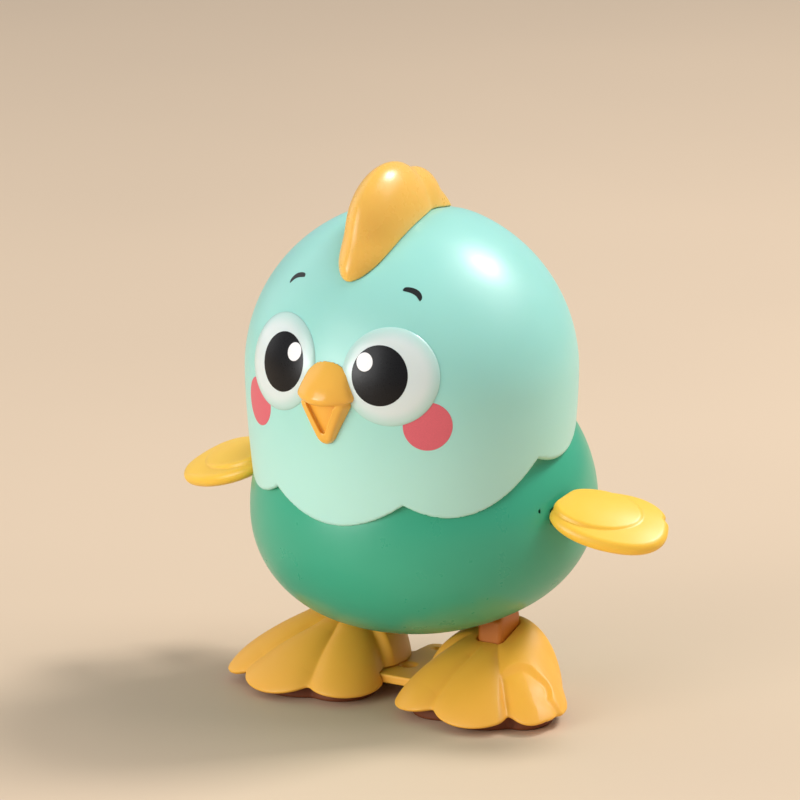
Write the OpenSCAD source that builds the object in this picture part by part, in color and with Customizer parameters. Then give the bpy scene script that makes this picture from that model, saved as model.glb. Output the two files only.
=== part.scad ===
// Wind-up hopping chicken: plastic shells around a spring-driven hop mechanism.
// Frame: +X is the chicken's left, -Y its front, +Z up; the soles rest on Z = 0.

/* [Head] */
// Radius of the head dome
head_r = 34; // [33.8:0.1:34.2]
// Height of the dome's centre above the floor
head_z = 70; // [69.5:0.5:70.5]
// Wall of the head shell
head_wall = 1.6; // [1.2:0.1:1.8]
// Number of scallops round the skirt
scallops = 7; // [5:1:9]
// How far each scallop hangs below its points
scallop_drop = 5.3; // [4:0.1:5.6]
// Slope of the skirt's edge, lower at the front
skirt_tilt = 18; // [16:1:20]

/* [Body] */
// Largest radius of the egg-shaped body
body_r = 36; // [35.6:0.1:36.2]
// Depth of the egg below its widest plane
body_depth = 25.4; // [25:0.1:25.8]
// Tilt of the egg, rump up
body_tilt = 8.5; // [7:0.5:9]
// Wall of the body shell
body_wall = 1.8; // [1.5:0.1:2]
// Height of the egg's widest plane at its axis
body_z = 40.1; // [39.9:0.1:40.3]

/* [Face] */
// Diameter of an eye disc
eye_d = 20.7; // [19:0.1:21]
// How far an eye disc stands off the head
eye_rise = 1.2; // [0.8:0.1:1.5]
// Top of the comb above the floor
comb_top = 114; // [113:0.5:115]
// Thickness of the comb
comb_w = 10.6; // [9.5:0.1:11]

/* [Wings] */
// Length of a wing blade
wing_length = 24.6; // [23:0.1:26]
// Chord of a wing blade
wing_chord = 23; // [21:0.5:24]
// Thickness of a wing blade
wing_t = 5; // [4.5:0.1:5.4]
// Sweep of a wing towards the back
wing_sweep = 28; // [26:1:30]
// Droop of a wing
wing_droop = 9.3; // [9:0.1:10]
// How far the front edge of a wing dips
wing_pitch = 16; // [14:1:18]

/* [Feet] */
// Sideways place of an ankle
ankle_x = 18; // [17.5:0.1:18.5]
// Wall of a foot shell
foot_wall = 1.6; // [1.4:0.1:1.8]
// Thickness of a sole plate
sole_t = 3; // [2.6:0.1:3]
// Thickness of the bridge between the feet
bridge_t = 1.9; // [1.6:0.1:1.9]
// Radius of the open hole in the bridge
bridge_hole_r = 1.6; // [1.4:0.1:1.8]

/* [Mechanism] */
// Gear module
gear_m = 0.6; // [0.6:0.6]
// Teeth of the great wheel
great_teeth = 40; // [38:1:40]
// Teeth of the second wheel
second_teeth = 30; // [28:1:30]
// Teeth of the cam wheel
cam_teeth = 24; // [22:1:24]
// Teeth of each pinion
pinion_teeth = 10; // [10:10]
// Running clearance of a shaft in its bore
run_gap = 0.05; // [0.02:0.01:0.08]
// Clearance of a piece fixed on its shaft
fix_gap = 0.02; // [0.01:0.01:0.03]
// Height of the winding arbor
wind_z = 36; // [35.8:0.1:36.2]
// Place of the winding arbor behind the body's axis
wind_y = 17.5; // [17.3:0.1:17.7]
// Radius of the winding knob
knob_r = 6.5; // [6:0.1:6.5]

/* [Hidden] */

$fn = 96;
eps = 0.01;
far = 100;

// Places of the shells
head_y = -1.6;
body_y = 3.7;
head_centre = [0, head_y, head_z];
egg_centre = [0, body_y, body_z];
upper_arc_r = 31;
corner_arc_r = 21.1;
rim_h = 22;
ring_h = 1.5;
ring_r = 24.6;
egg_gap = 0.25;
lip_r = 31.4;
lip_z = 42;
lip_arc_r = 120;
cusp_y = -30.1;
cusp_z = 48.7;
lobe_start = 24;

// Face; the beak reaches as far forward as the rump reaches back
beak_reach = body_y + (body_r - corner_arc_r) * cos(body_tilt) + corner_arc_r;
eye_at = [12.4, -28.5, 5.5];
eye_peg_r = 1.5;
peg_depth = 4;
peg_gap = 0.05;
seat_gap = 0.03;

// Wings
wing_root = [34.9, -4.8, 44.9];
wing_axis_x = 31.5;
wing_axis_z = 44.6;
wing_pin_y = -5;
wing_pin_r = 0.8;
wing_pin_length = 7.2;
wing_lug_w = 3.6;
wing_lug_r = 1.7;
wing_lug_gap = 0.25;
wing_ear = [6, 1.6, 3.8];
wing_arm_z = [-1.2, 1];
wing_lift = 20;
wing_gap = 0.4;

// Frame and train: places are [y, z]
plate_in = 8.4;
plate_t = 1.2;
plate_out = plate_in + plate_t;
arbor_over = 0.4;
wind_at = [wind_y, wind_z];
cam_at = [-6, 35.5];
leg_at = [4, 26];
second_at = circle_meet(wind_at, gear_m * (great_teeth + pinion_teeth) / 2,
    cam_at, gear_m * (second_teeth + pinion_teeth) / 2);
governor_at = cam_at + gear_m * (cam_teeth + pinion_teeth) / 2 * [cos(147), sin(147)];
pillar_at = [[29.5, 46.5], [-5.5, 51.5], [32.5, 37.5], [8.2, 24.6]];
pillar_r = 1.8;
pillar_hole_r = 0.82;
plate_lobes = [governor_at, [-5.5, 51.5], [29.5, 46.5], [32.5, 37.5], [20, 24.9], [10, 24.9], leg_at];
plate_lobe_r = 2.6;
wind_arbor_r = 1.6;
second_arbor_r = 1;
cam_arbor_r = 1.2;
governor_arbor_r = 0.8;
leg_shaft_r = 1.5;
base_z = 20.7;
base_t = 1.6;
base_y = [6, 21.5];
shell_screw_y = [8.5, 18];
shell_screw_r = 1.1;
shell_screw_head_r = 2;
shell_screw_head_h = 1.2;
boss_r = 3.4;
pressure_angle = 28;
addendum = 0.92;
dedendum = 1.2;
backlash = 0.05;
flank_steps = 4;
great_x = [5, 7];
second_pinion_x = [4.5, 7.6];
second_wheel_x = [1.6, 3.6];
cam_pinion_x = [1, 4.2];
cam_wheel_x = [-1.6, 0.2];
governor_pinion_x = [-2.2, 0.8];
cam_x = [-5.6, -3.2];
flywheel_x = [3, 6.5];
ratchet_x = [3.8, 4.8];
spring_x = [-6.5, 1];
spring_r = [2.3, 10.4];
spring_turns = 5.5;
spring_t = 0.35;
cam_lobe_r = 6.5;
cam_base_r = 3.6;
flywheel_r = 4.4;
follower_gap = 0.3;
ratchet_teeth = 10;
ratchet_r = 3.8;
ratchet_root_r = 3.1;

// Legs: sideways spans and the leg's section
leg_x = [15.8, 20.8];
leg_y = [0.3, 7.6];
knuckle_r = 3.3;
arm_t = 3;
yoke_y = [-8, -4.4];
yoke_z = [24, 27];
clip_t = 0.6;
clip_r = 2.7;
coil_r = 2.6;
coil_wire_r = 0.3;
coil_turns = 5;
coil_x = [11.2, 15.2];

// Feet
ankle_y = 4;
foot_top_r = 5.2;
foot_top_z = 15.2;
foot_top_slope = 0.34;
foot_rings = 8;
foot_sides = 72;
foot_rim_z = 3;
// Each lobe of the rim: start angle, start radius, bulge, drop, end angle, end radius
foot_lobes = [
    [-58, 16, 4.6, 1.2, -7.2, 23.6],
    [-7.2, 23.6, 2, 1.7, 35.4, 24.9],
    [35.4, 24.9, 1.4, 1.3, 58, 25.8],
    [58, 25.8, 0.3, 0.8, 95, 15.5],
    [95, 15.5, -3.9, 0.4, 302, 16]];
sole_inset = 3.3;
bridge_z = sole_t + 0.1;
bridge_mid = [[-6.5, -7], [6.5, 18]];
bridge_arm = [[-24, -5], [24, 10.5]];
bridge_corner_r = 2.4;
bridge_hole_at = [-2.5, 1.5];
bridge_chamfer = 0.5;
foot_screw_r = 1.1;
foot_screw_head_r = 2.2;
foot_screw_head_h = 1.2;
foot_screw_z = [0.6, 10];
foot_screw_y = 3.8;

// ---------- helpers ----------

// Place of a circle's meeting point with another circle, on its upper side
function circle_meet(a, ra, b, rb) =
    let (d = norm(b - a), u = (b - a) / d, k = (ra * ra - rb * rb + d * d) / (2 * d))
    a + u * k + [u[1], -u[0]] * sqrt(ra * ra - k * k);

// Turns a shape drawn in (Y, Z) and raised along X, between two places on X
module along_x(span) {
    translate([span[0], 0, 0]) rotate([90, 0, 90]) linear_extrude(span[1] - span[0]) children();
}

module rod_x(at, r, span) {
    translate([span[0], at[0], at[1]]) rotate([0, 90, 0]) cylinder(r = r, h = span[1] - span[0]);
}

module both_sides() {
    children();
    mirror([1, 0, 0]) children();
}

// Points a child's +Z axis along a direction
module aim(v) {
    rotate([0, acos(v[2] / norm(v)), atan2(v[1], v[0])]) children();
}

// Involute gear outline, with a tooth centred on the first axis
function involute(base, t) =
    [base * (cos(t) + t * PI / 180 * sin(t)), base * (sin(t) - t * PI / 180 * cos(t))];
function turned(p, a) = [p[0] * cos(a) - p[1] * sin(a), p[0] * sin(a) + p[1] * cos(a)];
function roll_angle(base, r) = 180 / PI * sqrt(max(0, r * r / (base * base) - 1));

module gear_outline(teeth) {
    pitch_r = gear_m * teeth / 2;
    base = pitch_r * cos(pressure_angle);
    tip = pitch_r + addendum * gear_m;
    root = pitch_r - dedendum * gear_m;
    inv = 180 / PI * tan(pressure_angle) - pressure_angle;
    half = 90 / teeth - 90 / PI * backlash / pitch_r + inv;
    start = roll_angle(base, max(base, root));
    end = roll_angle(base, tip);
    flank = [for (i = [0:flank_steps])
        turned(involute(base, start + (end - start) * i / flank_steps), -half)];
    radial = root < base ? [root * [cos(half), -sin(half)]] : [];
    side = concat(radial, flank);
    last = len(side) - 1;
    polygon([for (k = [0:teeth - 1])
        for (p = concat(side, [for (i = [last:-1:0]) [side[i][0], -side[i][1]]]))
        turned(p, k * 360 / teeth)]);
}

// Phase of a follower's tooth for true mesh with a driver whose tooth is at angle 0
function mesh_phase(at, to, driver, follower) =
    let (b = atan2(to[1] - at[1], to[0] - at[0])) b + 180 + b * driver / follower + 180 / follower;

module gear(at, teeth, phase, span, bore) {
    difference() {
        along_x(span) translate(at) rotate(phase) gear_outline(teeth);
        rod_x(at, bore, [span[0] - 1, span[1] + 1]);
    }
}

// ---------- shells ----------

// Half outline of the egg, drawn as radius and height about its own axis
module egg_outline(grow) {
    a = body_r + grow;
    b = body_depth + grow;
    c = corner_arc_r + grow;
    big = ((a - c) * (a - c) + b * b - c * c) / (2 * (b - c));
    join_r = (a - c) * big / (big - c);
    upper = upper_arc_r + grow;
    intersection() {
        union() {
            intersection() {
                translate([0, big - b]) circle(r = big, $fn = 200);
                translate([0, -b]) square([join_r, b]);
            }
            intersection() {
                translate([a - c, 0]) circle(r = c, $fn = 160);
                translate([0, -b]) square([a, b]);
            }
            intersection() {
                translate([a - upper, 0]) circle(r = upper, $fn = 160);
                square([a, rim_h + 4]);
            }
        }
        translate([0, -b]) square([a, b + rim_h + 4]);
    }
}

module egg(grow) {
    translate(egg_centre) rotate([body_tilt, 0, 0]) rotate_extrude($fn = 160) egg_outline(grow);
}

// Half outline of the head: a dome on a skirt that rolls slightly inward
module head_outline(shrink) {
    r = head_r - shrink;
    intersection() {
        union() {
            circle(r = r, $fn = 160);
            intersection() {
                translate([r - lip_arc_r, 0]) circle(r = lip_arc_r, $fn = 320);
                translate([0, lip_z - head_z]) square([r, head_z - lip_z]);
            }
        }
        translate([0, lip_z - head_z]) square([r, far]);
    }
}

module head_solid(shrink) {
    translate(head_centre) rotate_extrude($fn = 160) head_outline(shrink);
}

// Everything above the scalloped edge
module scallop_region() {
    half_chord = head_r * sin(180 / scallops);
    lobe_r = (half_chord * half_chord + scallop_drop * scallop_drop) / (2 * scallop_drop);
    plane_z = cusp_z + (head_y - cusp_y) * tan(skirt_tilt);
    translate([0, head_y, plane_z]) rotate([skirt_tilt, 0, 0]) {
        translate([-far / 2, -far / 2, 0]) cube([far, far, far]);
        for (i = [0:scallops - 1])
            rotate([0, 0, -90 + i * 360 / scallops]) translate([lobe_start, 0, lobe_r - scallop_drop])
                rotate([0, 90, 0]) cylinder(r = lobe_r, h = far / 2, $fn = 200);
    }
}

module eye_frame() {
    translate(head_centre) aim(eye_at) children();
}

module head_shell() {
    color("paleturquoise") difference() {
        union() {
            intersection() {
                difference() {
                    head_solid(0);
                    head_solid(head_wall);
                }
                scallop_region();
            }
            intersection() {
                head_solid(head_wall / 2);
                translate(egg_centre) rotate([body_tilt, 0, 0]) translate([0, 0, rim_h])
                    difference() {
                        cylinder(r = head_r, h = ring_h);
                        translate([0, 0, -1]) cylinder(r = ring_r, h = ring_h + 2);
                    }
            }
        }
        difference() {
            egg(egg_gap);
            translate(egg_centre) rotate([body_tilt, 0, 0]) translate([-far / 2, -far / 2, rim_h])
                cube(far);
        }
        both_sides() eye_frame() cylinder(r = eye_peg_r + peg_gap, h = far);
        beak_peg(peg_gap);
        comb_pegs(peg_gap);
    }
}

module body_shell() {
    color("mediumseagreen") difference() {
        union() {
            difference() {
                egg(0);
                egg(-body_wall);
            }
            intersection() {
                egg(-body_wall / 2);
                union() {
                    for (y = shell_screw_y) translate([0, y, 0]) cylinder(r = boss_r, h = base_z);
                    both_sides() wing_ears();
                }
            }
        }
        translate(egg_centre) rotate([body_tilt, 0, 0]) translate([-far / 2, -far / 2, rim_h])
            cube(far);
        for (y = shell_screw_y) translate([0, y, 0]) {
            cylinder(r = shell_screw_r + run_gap, h = base_z + 1);
            cylinder(r = shell_screw_head_r + 0.2, h = screw_seat_z(y));
        }
        rod_x(wind_at, wind_arbor_r + 0.8, [-far / 2, -body_r / 2]);
        both_sides() {
            leg_slot();
            wing_slot();
            wing_pin(fix_gap);
        }
    }
}

// Height of the seat under a shell screw's head
function screw_seat_z(y) = y < 14 ? 16.9 : 19.3;

// Slot that the leg swings back in
module leg_slot() {
    slot_gap = 0.6;
    swing = 2;
    slot_z = [10, 24];
    translate([leg_x[0] - slot_gap, leg_y[0] - slot_gap, slot_z[0]])
        cube([leg_x[1] - leg_x[0] + 2 * slot_gap, leg_y[1] - leg_y[0] + swing + 2 * slot_gap,
            slot_z[1] - slot_z[0]]);
}

// ---------- face and comb ----------

module eye_disc(grow) {
    eye_frame() intersection() {
        cylinder(r = eye_d / 2 + grow, h = far);
        sphere(r = head_r + eye_rise + grow);
    }
}

module eye() {
    color("white") {
        difference() {
            eye_disc(0);
            head_solid(-seat_gap);
        }
        eye_frame() translate([0, 0, head_r - peg_depth])
            cylinder(r = eye_peg_r, h = peg_depth + eye_rise / 2);
    }
}

module eye_left() { eye(); }
module eye_right() { mirror([1, 0, 0]) eye(); }

beak_peg_z = 70;
beak_peg_r = 1.6;

module beak_peg(grow) {
    translate([0, head_y - head_r - 1, beak_peg_z]) rotate([-90, 0, 0])
        cylinder(r = beak_peg_r + grow, h = peg_depth + 1);
}

module bead(p, r) {
    translate(p) sphere(r = r, $fn = 24);
}

module beak() {
    beak_r = 0.8;
    nose_r = 1.6;
    top = 78.3;
    corner = [6.3, -34.2, 70.6];
    bottom = 61.7;
    color("goldenrod") {
        difference() {
            union() {
                hull() {
                    bead([0, -33.6, top - beak_r], beak_r);
                    bead(corner, beak_r);
                    bead([-corner[0], corner[1], corner[2]], beak_r);
                    bead([2.2, nose_r - beak_reach, 71.6], nose_r);
                    bead([-2.2, nose_r - beak_reach, 71.6], nose_r);
                    bead([0, -36.8, 75.6], nose_r);
                    bead([0, -32, 70], nose_r);
                }
                hull() {
                    bead([5.2, -34.6, 69.6], beak_r);
                    bead([-5.2, -34.6, 69.6], beak_r);
                    bead([0, -35.4, bottom + 0.6], beak_r + 0.6);
                    bead([0, -37.4, 64], beak_r);
                    bead([3.6, -37.6, 69], beak_r);
                    bead([-3.6, -37.6, 69], beak_r);
                    bead([0, -32, 68], nose_r);
                }
            }
            head_solid(-seat_gap);
            both_sides() eye_disc(seat_gap);
            hull() {
                bead([0, -39.2, 65.6], 0.5);
                bead([2.4, -39.6, 68.9], 0.5);
                bead([-2.4, -39.6, 68.9], 0.5);
                bead([0, -37.6, 67], 0.5);
            }
        }
        beak_peg(0);
    }
}

comb_peg_y = [-13, -4];
comb_peg_r = 1.4;

module comb_pegs(grow) {
    for (y = comb_peg_y) translate([0, y, head_z + head_r - 6]) cylinder(r = comb_peg_r + grow, h = 7);
}

module comb() {
    r = comb_w / 2;
    color("goldenrod") {
        difference() {
            union() {
                hull() {
                    bead([0, -24, 93.2], 2.9);
                    bead([0, -18.6, 102.5], r - 0.6);
                    bead([0, -9.9, comb_top - r], r);
                    bead([0, -5.4, 105], r - 0.2);
                    bead([0, -6, 97], r - 0.6);
                }
                hull() {
                    bead([0, 0.6, 106.8], r - 1);
                    bead([0, 4.6, 103], r - 1.2);
                    bead([0, 6.4, 99], r - 1.4);
                    bead([0, -2, 99], r - 1);
                }
            }
            head_solid(-seat_gap);
        }
        comb_pegs(0);
    }
}

// ---------- wings ----------

module wing_frame() {
    translate(wing_root) rotate([0, 0, wing_sweep]) rotate([0, wing_droop, 0])
        rotate([wing_pitch, 0, 0]) children();
}

module wing_disc(at, rx, ry, t) {
    translate(at) scale([rx, ry, t / 2]) sphere(r = 1, $fn = 32);
}

module wing_blade() {
    half = wing_chord / 2;
    hull() {
        wing_disc([6, 0.6, 0], 6, half * 0.66, wing_t * 0.8);
        wing_disc([wing_length - 9.4, 0, 0], 9.4, half, wing_t * 0.8);
        wing_disc([wing_length - 5.6, -3.4, 0], 5.6, half * 0.6, wing_t * 0.74);
    }
    hull() {
        wing_disc([6, 0.9, 0.8], 5, half * 0.56, wing_t * 0.72);
        wing_disc([wing_length - 12, 1.6, 0.9], 7.4, half * 0.66, wing_t * 0.76);
    }
}

module wing_pin(grow) {
    translate([wing_axis_x, wing_pin_y - wing_pin_length / 2, wing_axis_z]) rotate([-90, 0, 0])
        cylinder(r = wing_pin_r + grow, h = wing_pin_length);
}

module wing_ears() {
    reach = wing_lug_w / 2 + wing_lug_gap;
    for (y = [-reach - wing_ear[1], reach])
        translate([wing_axis_x - wing_ear[2] / 2, wing_pin_y + y, wing_axis_z - wing_ear[2] / 2])
            cube(wing_ear);
}

// Slot that the wing's lug turns in, with room above it for the lift
module wing_slot() {
    room = wing_lug_r + wing_gap;
    lift = 0.6;
    translate([wing_axis_x - room, wing_pin_y - wing_lug_w / 2 - wing_lug_gap, wing_axis_z - room])
        cube([4 * room, wing_lug_w + 2 * wing_lug_gap, 2 * room + lift]);
}

// The body as the wing meets it when it is lifted by an angle
module body_from_wing(angle) {
    translate([wing_axis_x, 0, wing_axis_z]) rotate([0, angle, 0])
        translate([-wing_axis_x, 0, -wing_axis_z]) egg(wing_gap);
}

module wing_left() {
    color("khaki") difference() {
        union() {
            difference() {
                wing_frame() wing_blade();
                for (angle = [0, wing_lift / 2, wing_lift]) body_from_wing(angle);
            }
            translate([wing_axis_x, wing_pin_y - wing_lug_w / 2, wing_axis_z]) rotate([-90, 0, 0])
                cylinder(r = wing_lug_r, h = wing_lug_w);
            translate([wing_axis_x, wing_pin_y - wing_lug_w / 2, wing_axis_z + wing_arm_z[0]])
                cube([wing_root[0] - wing_axis_x + 3, wing_lug_w, wing_arm_z[1] - wing_arm_z[0]]);
        }
        wing_pin(run_gap);
    }
}

module wing_right() { mirror([1, 0, 0]) wing_left(); }

module wing_pins() {
    color("silver") both_sides() wing_pin(0);
}

// ---------- frame ----------

module frame_plate(arbors) {
    color("ivory") difference() {
        along_x([plate_in, plate_out]) hull() {
            for (p = plate_lobes) translate(p) circle(r = plate_lobe_r, $fn = 32);
        }
        for (a = arbors) rod_x(a[0], a[1], [plate_in - 1, plate_out + 1]);
        for (p = pillar_at) rod_x(p, pillar_hole_r + 0.1, [plate_in - 1, plate_out + 1]);
    }
}

bearing_bores = [
    [wind_at, wind_arbor_r + run_gap],
    [second_at, second_arbor_r + run_gap],
    [cam_at, cam_arbor_r + run_gap],
    [governor_at, governor_arbor_r + run_gap],
    [leg_at, leg_shaft_r + fix_gap]];

module frame_plate_left() { frame_plate(bearing_bores); }
module frame_plate_right() { mirror([1, 0, 0]) frame_plate(bearing_bores); }

module frame_base() {
    color("ivory") difference() {
        intersection() {
            translate([-plate_out, base_y[0], base_z]) cube([2 * plate_out, base_y[1] - base_y[0], base_t]);
            egg(-body_wall - egg_gap);
        }
        for (y = shell_screw_y) translate([0, y, base_z - 1])
            cylinder(r = shell_screw_r + fix_gap, h = base_t + 2);
    }
}

module frame_pillars() {
    color("silver") for (p = pillar_at) difference() {
        rod_x(p, pillar_r, [-plate_in, plate_in]);
        rod_x(p, pillar_hole_r, [-plate_in - 1, plate_in + 1]);
    }
}

module frame_screws() {
    shank_r = pillar_hole_r - fix_gap;
    head_r_small = 1.7;
    head_h = 1.1;
    color("silver") both_sides() for (p = pillar_at) {
        rod_x(p, shank_r, [plate_in - 4, plate_out + eps]);
        rod_x(p, head_r_small, [plate_out, plate_out + head_h]);
    }
}

module shell_screws() {
    color("silver") for (y = shell_screw_y) translate([0, y, screw_seat_z(y) - shell_screw_head_h]) {
        cylinder(r = shell_screw_head_r, h = shell_screw_head_h);
        cylinder(r = shell_screw_r, h = base_z + base_t - screw_seat_z(y) + shell_screw_head_h);
    }
}

// ---------- train ----------

function spring_point(turn, grow) =
    let (a = 360 * turn, r = spring_r[0] + (spring_r[1] - spring_r[0]) * turn / spring_turns + grow)
    [r * cos(a), r * sin(a)];

module mainspring() {
    per_turn = 18;
    steps = spring_turns * per_turn;
    color("dimgray") along_x(spring_x) translate(wind_at) polygon(concat(
        [for (i = [0:steps]) spring_point(i / per_turn, 0)],
        [for (i = [steps:-1:0]) spring_point(i / per_turn, spring_t)]));
}

module winding_knob() {
    flutes = 16;
    span = [-43.4, -36.6];
    color("gold") difference() {
        rod_x(wind_at, knob_r, span);
        for (i = [0:flutes - 1])
            rod_x(wind_at + (knob_r + 0.35) * [cos(i * 360 / flutes), sin(i * 360 / flutes)], 0.8,
                [span[0] - 1, span[1] - 1.6]);
        rod_x(wind_at, wind_arbor_r + fix_gap, [span[0] + 1.4, span[1] + 1]);
    }
}

module winding_arbor() {
    color("silver") rod_x(wind_at, wind_arbor_r, [-42, plate_out + arbor_over]);
}

module ratchet_wheel() {
    step = 360 / ratchet_teeth;
    color("lightgray") difference() {
        along_x(ratchet_x) translate(wind_at) polygon([for (i = [0:ratchet_teeth - 1])
            for (p = [[ratchet_root_r, i * step], [ratchet_r, i * step]])
            p[0] * [cos(p[1]), sin(p[1])]]);
        rod_x(wind_at, wind_arbor_r + fix_gap, [ratchet_x[0] - 1, ratchet_x[1] + 1]);
    }
}

// Click that rides on the great wheel, with its nose short of the ratchet's teeth
module ratchet_click() {
    pivot = wind_at + [0, 7.2];
    color("dimgray") {
        along_x([ratchet_x[0], great_x[0]]) translate(pivot) circle(r = 1.1);
        along_x(ratchet_x) translate(wind_at) polygon([[0, 6.3], [0, 8.1], [-4, 5.4], [-3.1, 3.4]]);
    }
}

module great_wheel() {
    color("ivory") gear(wind_at, great_teeth, 0, great_x, wind_arbor_r + fix_gap);
}

module arbor(at, r) {
    color("silver") rod_x(at, r, [-plate_out - arbor_over, plate_out + arbor_over]);
}

module second_arbor() { arbor(second_at, second_arbor_r); }

module second_pinion() {
    color("gold") gear(second_at, pinion_teeth,
        mesh_phase(wind_at, second_at, great_teeth, pinion_teeth), second_pinion_x,
        second_arbor_r + fix_gap);
}

module second_wheel() {
    color("ivory") gear(second_at, second_teeth, 0, second_wheel_x, second_arbor_r + fix_gap);
}

module cam_arbor() { arbor(cam_at, cam_arbor_r); }

module cam_pinion() {
    color("gold") gear(cam_at, pinion_teeth,
        mesh_phase(second_at, cam_at, second_teeth, pinion_teeth), cam_pinion_x,
        cam_arbor_r + fix_gap);
}

module cam_wheel() {
    color("ivory") gear(cam_at, cam_teeth, 0, cam_wheel_x, cam_arbor_r + fix_gap);
}

// Two rounded lobes on a hub; each pushes the yoke down once a turn
module hop_cam() {
    lobe_tip_r = 1.6;
    color("orange") difference() {
        along_x(cam_x) translate(cam_at) hull() {
            circle(r = cam_base_r, $fn = 32);
            for (x = [-1, 1]) translate([x * (cam_lobe_r - lobe_tip_r), 0]) circle(r = lobe_tip_r, $fn = 32);
        }
        rod_x(cam_at, cam_arbor_r + fix_gap, [cam_x[0] - 1, cam_x[1] + 1]);
    }
}

module governor_arbor() { arbor(governor_at, governor_arbor_r); }

module governor_pinion() {
    color("gold") gear(governor_at, pinion_teeth,
        mesh_phase(cam_at, governor_at, cam_teeth, pinion_teeth), governor_pinion_x,
        governor_arbor_r + fix_gap);
}

module governor_flywheel() {
    color("goldenrod") difference() {
        rod_x(governor_at, flywheel_r, flywheel_x);
        rod_x(governor_at, governor_arbor_r + fix_gap, [flywheel_x[0] - 1, flywheel_x[1] + 1]);
    }
}

// ---------- legs ----------

module leg_shaft() {
    end = leg_x[1] + 1.4;
    color("silver") rod_x(leg_at, leg_shaft_r, [-end, end]);
}

module shaft_clips() {
    color("silver") both_sides() difference() {
        rod_x(leg_at, clip_r, [leg_x[1] + 0.2, leg_x[1] + 0.2 + clip_t]);
        rod_x(leg_at, leg_shaft_r + fix_gap, [leg_x[1], leg_x[1] + 2]);
    }
}

module leg_left() {
    color("sandybrown") difference() {
        union() {
            rod_x(leg_at, knuckle_r, leg_x);
            translate([leg_x[0], leg_y[0], bridge_z + bridge_t])
                cube([leg_x[1] - leg_x[0], leg_y[1] - leg_y[0], leg_at[1] - bridge_z - bridge_t]);
            translate([leg_x[0], yoke_y[0], yoke_z[0]])
                cube([arm_t, leg_at[0] - yoke_y[0], yoke_z[1] - yoke_z[0]]);
        }
        rod_x(leg_at, leg_shaft_r + run_gap, [leg_x[0] - 1, leg_x[1] + 1]);
        yoke_screw(fix_gap);
        foot_screw(fix_gap);
    }
}

module leg_right() { mirror([1, 0, 0]) leg_left(); }

// Bar between the two legs, with the pad that the cam pushes down
module hop_yoke() {
    pad_y = [cam_at[0] - 1.8, cam_at[0] + 1.6];
    pad_top = cam_at[1] - cam_lobe_r - follower_gap;
    color("ivory") difference() {
        union() {
            translate([-leg_x[0], yoke_y[0], yoke_z[0]])
                cube([2 * leg_x[0], yoke_y[1] - yoke_y[0], yoke_z[1] - yoke_z[0]]);
            translate([cam_x[0] - 0.2, pad_y[0], yoke_z[0] + 1])
                cube([cam_x[1] - cam_x[0] + 0.4, pad_y[1] - pad_y[0], pad_top - yoke_z[0] - 1]);
        }
        both_sides() yoke_screw(fix_gap);
    }
}

module yoke_screw(grow) {
    mid = [(yoke_y[0] + yoke_y[1]) / 2, (yoke_z[0] + yoke_z[1]) / 2];
    rod_x(mid, 0.8 + grow, [leg_x[0] - 4, leg_x[0] + arm_t]);
    rod_x(mid, 1.4 + grow, [leg_x[0] + arm_t - 0.6 - grow, leg_x[0] + arm_t + 0.6]);
}

module yoke_screws() {
    color("silver") both_sides() yoke_screw(0);
}

// Helix points about the leg shaft, starting above it
function coil_point(turn) =
    [coil_x[0] + (coil_x[1] - coil_x[0]) * turn / coil_turns,
     leg_at[0] - coil_r * sin(360 * turn), leg_at[1] + coil_r * cos(360 * turn)];

module wire(points, r, sides) {
    n = len(points);
    tangent = [for (i = [0:n - 1])
        let (v = points[min(i + 1, n - 1)] - points[max(i - 1, 0)]) v / norm(v)];
    side = [for (t = tangent) let (v = cross(t, abs(t[0]) < 0.9 ? [1, 0, 0] : [0, 0, 1])) v / norm(v)];
    ring = [for (i = [0:n - 1]) let (up = cross(tangent[i], side[i]))
        for (k = [0:sides - 1])
        points[i] + r * (side[i] * cos(k * 360 / sides) + up * sin(k * 360 / sides))];
    wall = [for (i = [0:n - 2]) for (k = [0:sides - 1]) let (m = (k + 1) % sides)
        for (f = [[i * sides + k, (i + 1) * sides + m, i * sides + m],
            [i * sides + k, (i + 1) * sides + k, (i + 1) * sides + m]]) f];
    polyhedron(ring, concat(wall, [[for (k = [0:sides - 1]) k],
        [for (k = [sides - 1:-1:0]) (n - 1) * sides + k]]));
}

// Each coil starts with a straight end that rests on the frame plate
module return_springs() {
    per_turn = 14;
    foot = [[plate_out + eps, coil_point(0)[1], coil_point(0)[2]]];
    color("silver") both_sides() wire(
        concat(foot, [for (i = [0:coil_turns * per_turn]) coil_point(i / per_turn)]), coil_wire_r, 6);
}

// ---------- feet ----------

function foot_lobe(a) = [for (l = foot_lobes) if (a >= l[0] && a < l[4]) l][0];
function foot_wrap(a) = a < foot_lobes[0][0] ? a + 360 : a;

// Radius of the rim and height of the rim at an angle from the front, outward
function foot_rim(angle) =
    let (a = foot_wrap(angle), l = foot_lobe(a), s = (a - l[0]) / (l[4] - l[0]),
        hump = 1 - pow(2 * s - 1, 2))
    [l[1] + (l[5] - l[1]) * s + l[2] * hump, foot_rim_z - l[3] * hump];

// How straight the slope is: toes slope evenly, the heel stands steep
function foot_power(angle) =
    let (a = foot_wrap(angle)) a < 58 ? 1.45 : 1.05;

function foot_point(angle, ring, wall) =
    let (rim = foot_rim(angle), t = 90 * ring / foot_rings, p = foot_power(angle),
        top_r = foot_top_r - wall, d = [sin(angle), -cos(angle)],
        r = top_r + (rim[0] - wall - top_r) * pow(cos(t), p),
        top_z = foot_top_z - wall + foot_top_slope * top_r * -cos(angle),
        z = rim[1] + (top_z - rim[1]) * pow(sin(t), p))
    [ankle_x + r * d[0], ankle_y + r * d[1], z];

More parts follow.
